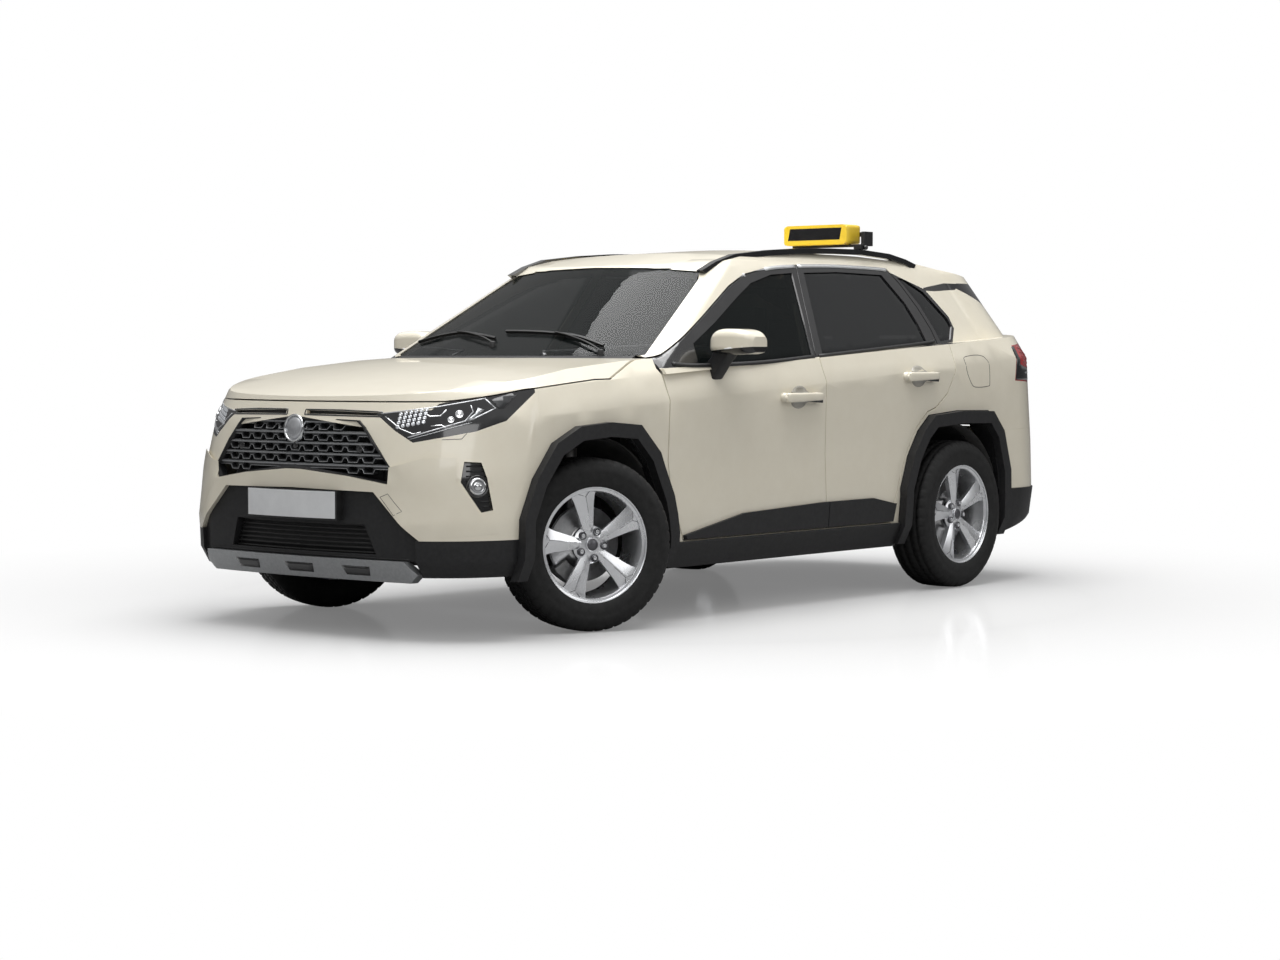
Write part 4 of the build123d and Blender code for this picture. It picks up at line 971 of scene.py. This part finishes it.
for body, x0, y0, y1, z in (("door_front", 0.893, -0.142, 0.134, 0.958),
                            ("door_rear", 0.886, 0.844, 1.103, 1.046)):
    bar = []
    for t in [k / 16 for k in range(17)]:
        y = y0 - 0.010 + (y1 - y0 + 0.020) * t
        size = min(end_size(t), end_size(1 - t))
        high = (0.0225 - 0.0045 * t) * size
        thick = 0.0118 * size
        rise = 0.004 * math.sin(math.pi * t)
        ring = []
        for a in [2 * math.pi * i / 20 for i in range(20)]:
            c, s = math.cos(a), math.sin(a)
            ring.append(Vector((x0 + 0.026 + rise * 0.4 + thick * math.copysign(abs(c) ** 0.55, c), y,
                                z + (t - 0.5) * 0.004 + high * math.copysign(abs(s) ** 0.6, s))))
        bar.append(ring)
    pair("handle_bar_" + body, strip(bar), PAINT, body + "_left")
    for tag, ya, wide in (("front", y0 + 0.016, 0.060), ("back", y1 - 0.018, 0.050)):
        base = []
        for depth, share in ((-0.030, 1.0), (0.004, 1.0), (0.012, 0.92), (0.024, 0.80)):
            base.append([Vector((x0 + depth, ya + u * share, z + v * share))
                         for u, v in rounded(wide, 0.044, 0.48, 5)])
        pair("handle_" + tag + "_" + body, strip(base), PAINT, body + "_left")
    middle = y0 + (y1 - y0) * 0.46
    # flat patches of painted shade where the finger cups are
    for tag, sign in (("upper", 1), ("lower", -1)):
        arc = [(middle + 0.062 * math.cos(a), z + sign * (0.012 + 0.040 * math.sin(a)))
               for a in [math.pi * k / 14 for k in range(15)]]
        pair("handle_cup_shade_" + tag + "_" + body, patch(arc, on_side, 0.0008, step=0.018), PAINTED_CUP_SHADE, body + "_left")
    wedge = []
    for t in [k / 8 for k in range(9)]:
        y = y0 + (y1 - y0) * (0.50 + 0.47 * t)
        low = z - 0.0165 - (0.004 + 0.007 * t)
        wedge.append([Vector((x0 + 0.012, y, z - 0.016)), Vector((x0 + 0.034, y, z - 0.015)),
                      Vector((x0 + 0.033, y, low)), Vector((x0 + 0.012, y, low))])
    pair("handle_wedge_" + body, strip(wedge), GLOSS_BLACK, body + "_left", smooth=False)

# Roof sign: blank black panel on its front and back, tapered ends, base seam, clamp knob
SIGN_X, SIGN_Y0, SIGN_Y1, SIGN_Z = 0.352, 0.847, 0.963, 1.737
PANEL_LOW, PANEL_HIGH, PANEL_LEAN = 1.7125, 1.7705, 0.012
for tag, y_face, way in (("front", SIGN_Y0, -1), ("back", SIGN_Y1, 1)):
    left, right = SIGN_X - 0.164, SIGN_X + 0.160
    outline = [(left, PANEL_LOW), (right - PANEL_LEAN, PANEL_LOW), (right, PANEL_HIGH),
               (left + PANEL_LEAN, PANEL_HIGH)]
    flat = [Vector((x, y_face + way * 0.0012, z)) for x, z in outline]
    deep = [Vector((x, y_face - way * 0.002, z)) for x, z in outline]
    mesh_piece("sign_panel_" + tag, *strip([deep, flat]), GLOSS_BLACK, "chassis", smooth=False, edge=0.0006)
ends = []
for way in (-1, 1):
    sections = []
    for out_by, share in ((-0.003, 1.004), (0.001, 1.000), (0.005, 0.88), (0.008, 0.66)):
        sections.append([Vector((SIGN_X + way * (0.188 + out_by), (SIGN_Y0 + SIGN_Y1) / 2 + v * share,
                                 SIGN_Z + w * share)) for v, w in rounded(0.116, 0.090, 0.12, 3)])
    ends.append(strip(sections))
mesh_piece("sign_ends", *join_shapes(ends), YELLOW, "chassis", smooth=False, edge=0.002)
seam = [[Vector((x, SIGN_Y0 - 0.0015, 1.6905)), Vector((x, SIGN_Y0 - 0.0015, 1.6955)),
         Vector((x, SIGN_Y1 + 0.0015, 1.6955)), Vector((x, SIGN_Y1 + 0.0015, 1.6905))]
        for x in (SIGN_X - 0.176, SIGN_X + 0.176)]
mesh_piece("sign_base_seam", *strip(seam), YELLOW, "chassis", smooth=False)
knob = lathe([(0.0001, 0.006), (0.010, 0.005), (0.012, 0.002), (0.012, -0.010), (0.006, -0.011),
              (0.006, -0.030)], 16)
knob_at = Matrix.Translation((0.618, 0.905, 1.672)) @ Matrix.Rotation(math.radians(90), 4, "Y")
mesh_piece("sign_clamp_knob", *knob, GLOSS_BLACK, "chassis", turn=knob_at)

# Arch liners: dark shells just inside the wheel openings
ARCH_R = 0.447
for tag, y, x_out in (("front", -1.395, 0.852), ("rear", 1.290, 0.858)):
    corners = ((ARCH_R - 0.002, 0.56), (ARCH_R - 0.002, x_out), (ARCH_R + 0.002, x_out),
               (ARCH_R + 0.002, 0.56))
    sections = []
    for a in [math.radians(-12 + 204 * k / 32) for k in range(33)]:
        sections.append([Vector((x, y + r * math.cos(a), TYRE_R + r * math.sin(a))) for r, x in corners])
    pair("arch_liner_" + tag, strip(sections), UNDER)

# Tail lamp: black housing in front of the red lens, silver mark, ribs
housing = [(1.862, 1.022), (1.886, 1.190), (1.916, 1.193), (1.912, 1.100), (1.980, 1.086), (2.060, 1.080),
           (2.050, 1.020)]
pair("tail_lamp_housing", patch(housing, on_side, 0.0022), GLOSS_BLACK)
mark = [(1.985, 1.052), (1.985, 1.060), (2.050, 1.064), (2.050, 1.056)]
pair("tail_lamp_mark", patch(mark, on_side, 0.0034), SILVER)
ribs = [ribbon([on_side(1.955 + 0.012 * i, 1.186 - 0.022 * k - 0.0006 * i * i) for i in range(9)], 0.0035,
               0.0030, 0.001) for k in range(4)]
pair("tail_lamp_ribs", join_shapes(ribs), RED_LENS)

# Wipers on the windscreen
for tag, pivot_x, tip_x, tip_y in (("left", 0.56, -0.06, -0.915), ("right", -0.08, -0.66, -0.865)):
    pivot, _ = on_top(pivot_x, -1.010)
    blade_pts, blade = [], []
    for t in [k / 12 for k in range(13)]:
        p, n = on_top(pivot_x - 0.02 + (tip_x - pivot_x) * t,
                      -0.965 + (tip_y + 0.965) * t + 0.012 * math.sin(math.pi * t))
        s = Vector((0, 1, 0)).cross(n).cross(n).normalized()
        blade_pts.append((p, n))
        blade.append([p + n * 0.002 - s * 0.003, p + n * 0.016 - s * 0.006, p + n * 0.016 + s * 0.006,
                      p + n * 0.002 + s * 0.003])
    mesh_piece("wiper_blade_" + tag, *strip(blade), SEAL, "chassis", smooth=False)
    half_way = blade_pts[6][0] + blade_pts[6][1] * 0.018
    lift = pivot + Vector((0, 0, 0.016))
    arm = [lift, lift.lerp(half_way, 0.3) + Vector((0, 0, 0.012)),
           lift.lerp(half_way, 0.7) + Vector((0, 0, 0.010)), half_way]
    mesh_piece("wiper_arm_" + tag, *tube(smooth_line(arm, 5), 0.006, 8, flat=0.6), SEAL, "chassis")
    mesh_piece("wiper_pivot_" + tag, *lathe([(0.014, -0.012), (0.014, 0.014), (0.010, 0.018),
                                             (0.0001, 0.019)],
                                            20), SEAL, "chassis",
               turn=Matrix.Translation(pivot + Vector((0, 0, 0.004))))

# Fuel flap's outline on the left rear quarter
FLAP = [(1.400, 1.070), (1.396, 1.118), (1.420, 1.140), (1.560, 1.146), (1.606, 1.110), (1.614, 1.010),
        (1.596, 0.992), (1.490, 0.988), (1.446, 1.004)]
flap = [on_side(p.x, p.y) for p in smooth_line([(y, z, 0) for y, z in FLAP], 5, True)]
mesh_piece("fuel_flap_gap", *ribbon(flap + flap[:1], 0.0028, 0.0006, 0.001), SEAL, "chassis")

# Tailgate: blank plate on its carrier, grip bar, wiper; reflectors in the rear cover


def across_tail(half, z0, z1, out0, out1):
    # a bar across the tailgate that follows its curve in plan
    sections = []
    for x in [-half + 2 * half * k / 12 for k in range(13)]:
        low = on_rear(x, z0)[0].y
        high = on_rear(x, z1)[0].y
        sections.append([Vector((x, low + out0, z0)), Vector((x, high + out0, z1)),
                         Vector((x, high + out1, z1)), Vector((x, low + out1, z0))])
    return strip(sections)


mesh_piece("rear_plate_carrier", *across_tail(0.268, 0.852, 0.978, -0.001, 0.007), SEAL, "tailgate",
           edge=0.001)
mesh_piece("rear_plate_blank", *across_tail(0.260, 0.860, 0.970, 0.006, 0.010), PLATE, "tailgate", edge=0.001)
mesh_piece("rear_grip_bar", *across_tail(0.310, 0.990, 1.024, -0.001, 0.016), PLASTIC, "tailgate", edge=0.004)
sweep = [on_rear(x, 1.300 + 0.06 * x) for x in [-0.20 + 0.40 * k / 10 for k in range(11)]]
mesh_piece("rear_wiper_blade", *ribbon(sweep, 0.012, 0.010, -0.001), SEAL, "tailgate", smooth=False)
foot, foot_normal = on_rear(0.0, 1.262)
middle, middle_normal = sweep[5]
arm = [foot + foot_normal * 0.014, foot.lerp(middle, 0.5) + foot_normal * 0.024,
       middle + middle_normal * 0.014]
mesh_piece("rear_wiper_arm", *tube(smooth_line(arm, 5), 0.007, 8, flat=0.6), SEAL, "tailgate")
reflector = [on_rear(x, z) for x, z in ((0.520, 0.405), (0.580, 0.405), (0.640, 0.404), (0.700, 0.402))]
pair("rear_reflector", ribbon(reflector, 0.026, 0.006, 0.002), RED_LENS, edge=0.002)

# Camera as fitted to the photograph
SENSOR = 36.0
FOCAL_SHARE = 2616.4 / 1280
EYE = Vector((7.971, -9.614, 1.160))
AZ, EL, ROLL = math.radians(39.880), math.radians(2.784), math.radians(-0.024)
cam_data = bpy.data.cameras.new("camera")
cam = bpy.data.objects.new("camera", cam_data)
bpy.context.scene.collection.objects.link(cam)
back = Vector((math.sin(AZ) * math.cos(EL), -math.cos(AZ) * math.cos(EL), math.sin(EL)))
side = Vector((math.cos(AZ), math.sin(AZ), 0))
turn = Matrix((side, back.cross(side), back)).transposed().to_4x4()
cam.matrix_world = Matrix.Translation(EYE) @ turn @ Matrix.Rotation(ROLL, 4, "Z")
cam_data.sensor_width = SENSOR
cam_data.lens = FOCAL_SHARE * SENSOR
cam_data.clip_end = 200
bpy.context.scene.camera = cam

# Studio: white surround for the camera, graded grey surround for light and reflections
world = bpy.data.worlds.new("studio")
bpy.context.scene.world = world
world.use_nodes = True
wt = world.node_tree
wt.nodes.clear()
out = node(wt, "OutputWorld")
mix = node(wt, "MixShader")
path = node(wt, "LightPath")
white = node(wt, "Background", Color=(1, 1, 1, 1), Strength=1.0)
room = node(wt, "Background", Strength=0.75)
geo = node(wt, "TexCoord")
sep = node(wt, "SeparateXYZ")
grad = node(wt, "ValToRGB")
stops = grad.color_ramp.elements
stops[0].position = 0.30
stops[0].color = (0.22, 0.22, 0.22, 1)
stops[1].position = 0.95
stops[1].color = (1.0, 1.0, 1.0, 1)
stops.new(0.50).color = (0.10, 0.10, 0.105, 1)
stops.new(0.60).color = (0.30, 0.30, 0.30, 1)
scale = node(wt, "MapRange", From_Min=-1)
wt.links.new(geo.outputs["Generated"], sep.inputs["Vector"])
wt.links.new(sep.outputs["Z"], scale.inputs["Value"])
wt.links.new(scale.outputs["Result"], grad.inputs["Fac"])
wt.links.new(grad.outputs["Color"], room.inputs["Color"])
wt.links.new(path.outputs["Is Camera Ray"], mix.inputs["Fac"])
wt.links.new(room.outputs["Background"], mix.inputs[1])
wt.links.new(white.outputs["Background"], mix.inputs[2])
wt.links.new(mix.outputs["Shader"], out.inputs["Surface"])

# Floor: the camera sees it white with a faint reflection of the car that ends a few metres out;
# the light it throws back on the car is that of a grey floor
FADE_FROM, FADE_TO = 2.1, 4.6
MIRROR_SHARE = 0.30
SEEN_MATT, SEEN_LIFT, FELT_GREY = 0.60, 0.24, 0.30
floor_mesh = bpy.data.meshes.new("floor")
floor_mesh.from_pydata([(-60, -60, 0), (60, -60, 0), (60, 60, 0), (-60, 60, 0)], [], [(0, 1, 2, 3)])
floor = bpy.data.objects.new("floor", floor_mesh)
bpy.context.scene.collection.objects.link(floor)
fm = bpy.data.materials.new("floor_pale")
fm.use_nodes = True
ft = fm.node_tree
ft.nodes.clear()


def grey(level):
    return (level, level, level, 1)


def floor_mix(first, second, factor):
    n = node(ft, "MixShader")
    ft.links.new(factor, n.inputs["Fac"])
    ft.links.new(first, n.inputs[1])
    ft.links.new(second, n.inputs[2])
    return n.outputs["Shader"]


where = node(ft, "TexCoord")
far = node(ft, "VectorMath")
far.operation = "LENGTH"
ft.links.new(where.outputs["Object"], far.inputs[0])
fade_node = node(ft, "MapRange", From_Min=FADE_FROM, From_Max=FADE_TO)
ft.links.new(far.outputs["Value"], fade_node.inputs["Value"])
fade = fade_node.outputs["Result"]
matt = node(ft, "BsdfDiffuse", Color=grey(SEEN_MATT))
lift = node(ft, "Emission", Color=grey(1.0), Strength=SEEN_LIFT)
pale = node(ft, "AddShader")
ft.links.new(matt.outputs[0], pale.inputs[0])
ft.links.new(lift.outputs[0], pale.inputs[1])
gloss = node(ft, "BsdfGlossy", Color=grey(1.0), Roughness=0.10)
near_share = calc(ft, "MULTIPLY", calc(ft, "SUBTRACT", 1.0, fade), MIRROR_SHARE)
near_floor = floor_mix(pale.outputs[0], gloss.outputs[0], near_share)
far_floor = node(ft, "Emission", Color=grey(1.0), Strength=1.0)
seen_floor = floor_mix(near_floor, far_floor.outputs[0], fade)
felt_floor = node(ft, "BsdfDiffuse", Color=grey(FELT_GREY))
ray = node(ft, "LightPath")
surface_out = node(ft, "OutputMaterial")
ft.links.new(floor_mix(felt_floor.outputs[0], seen_floor, ray.outputs["Is Camera Ray"]),
             surface_out.inputs["Surface"])
floor_mesh.materials.append(fm)


def lamp(name, place, target, size_x, size_y, power):
    data = bpy.data.lights.new(name, "AREA")
    data.shape = "RECTANGLE"
    data.size = size_x
    data.size_y = size_y
    data.energy = power
    obj = bpy.data.objects.new(name, data)
    bpy.context.scene.collection.objects.link(obj)
    obj.location = place
    aim = (Vector(target) - Vector(place)).normalized()
    obj.rotation_euler = aim.to_track_quat("-Z", "Y").to_euler()


lamp("overhead", (0.2, -0.5, 6.5), (0, 0, 0), 5.5, 8.0, 610)
lamp("front_left", (6.5, -7.5, 4.5), (0.4, -0.6, 0.6), 4.0, 3.0, 90)
lamp("side_left", (8.5, 3.0, 3.8), (0.6, 0.6, 0.6), 5.0, 2.5, 75)
lamp("nose", (-3.5, -9.0, 3.0), (0, -1.8, 0.7), 3.5, 2.5, 10)

bpy.context.scene.view_settings.view_transform = "Standard"
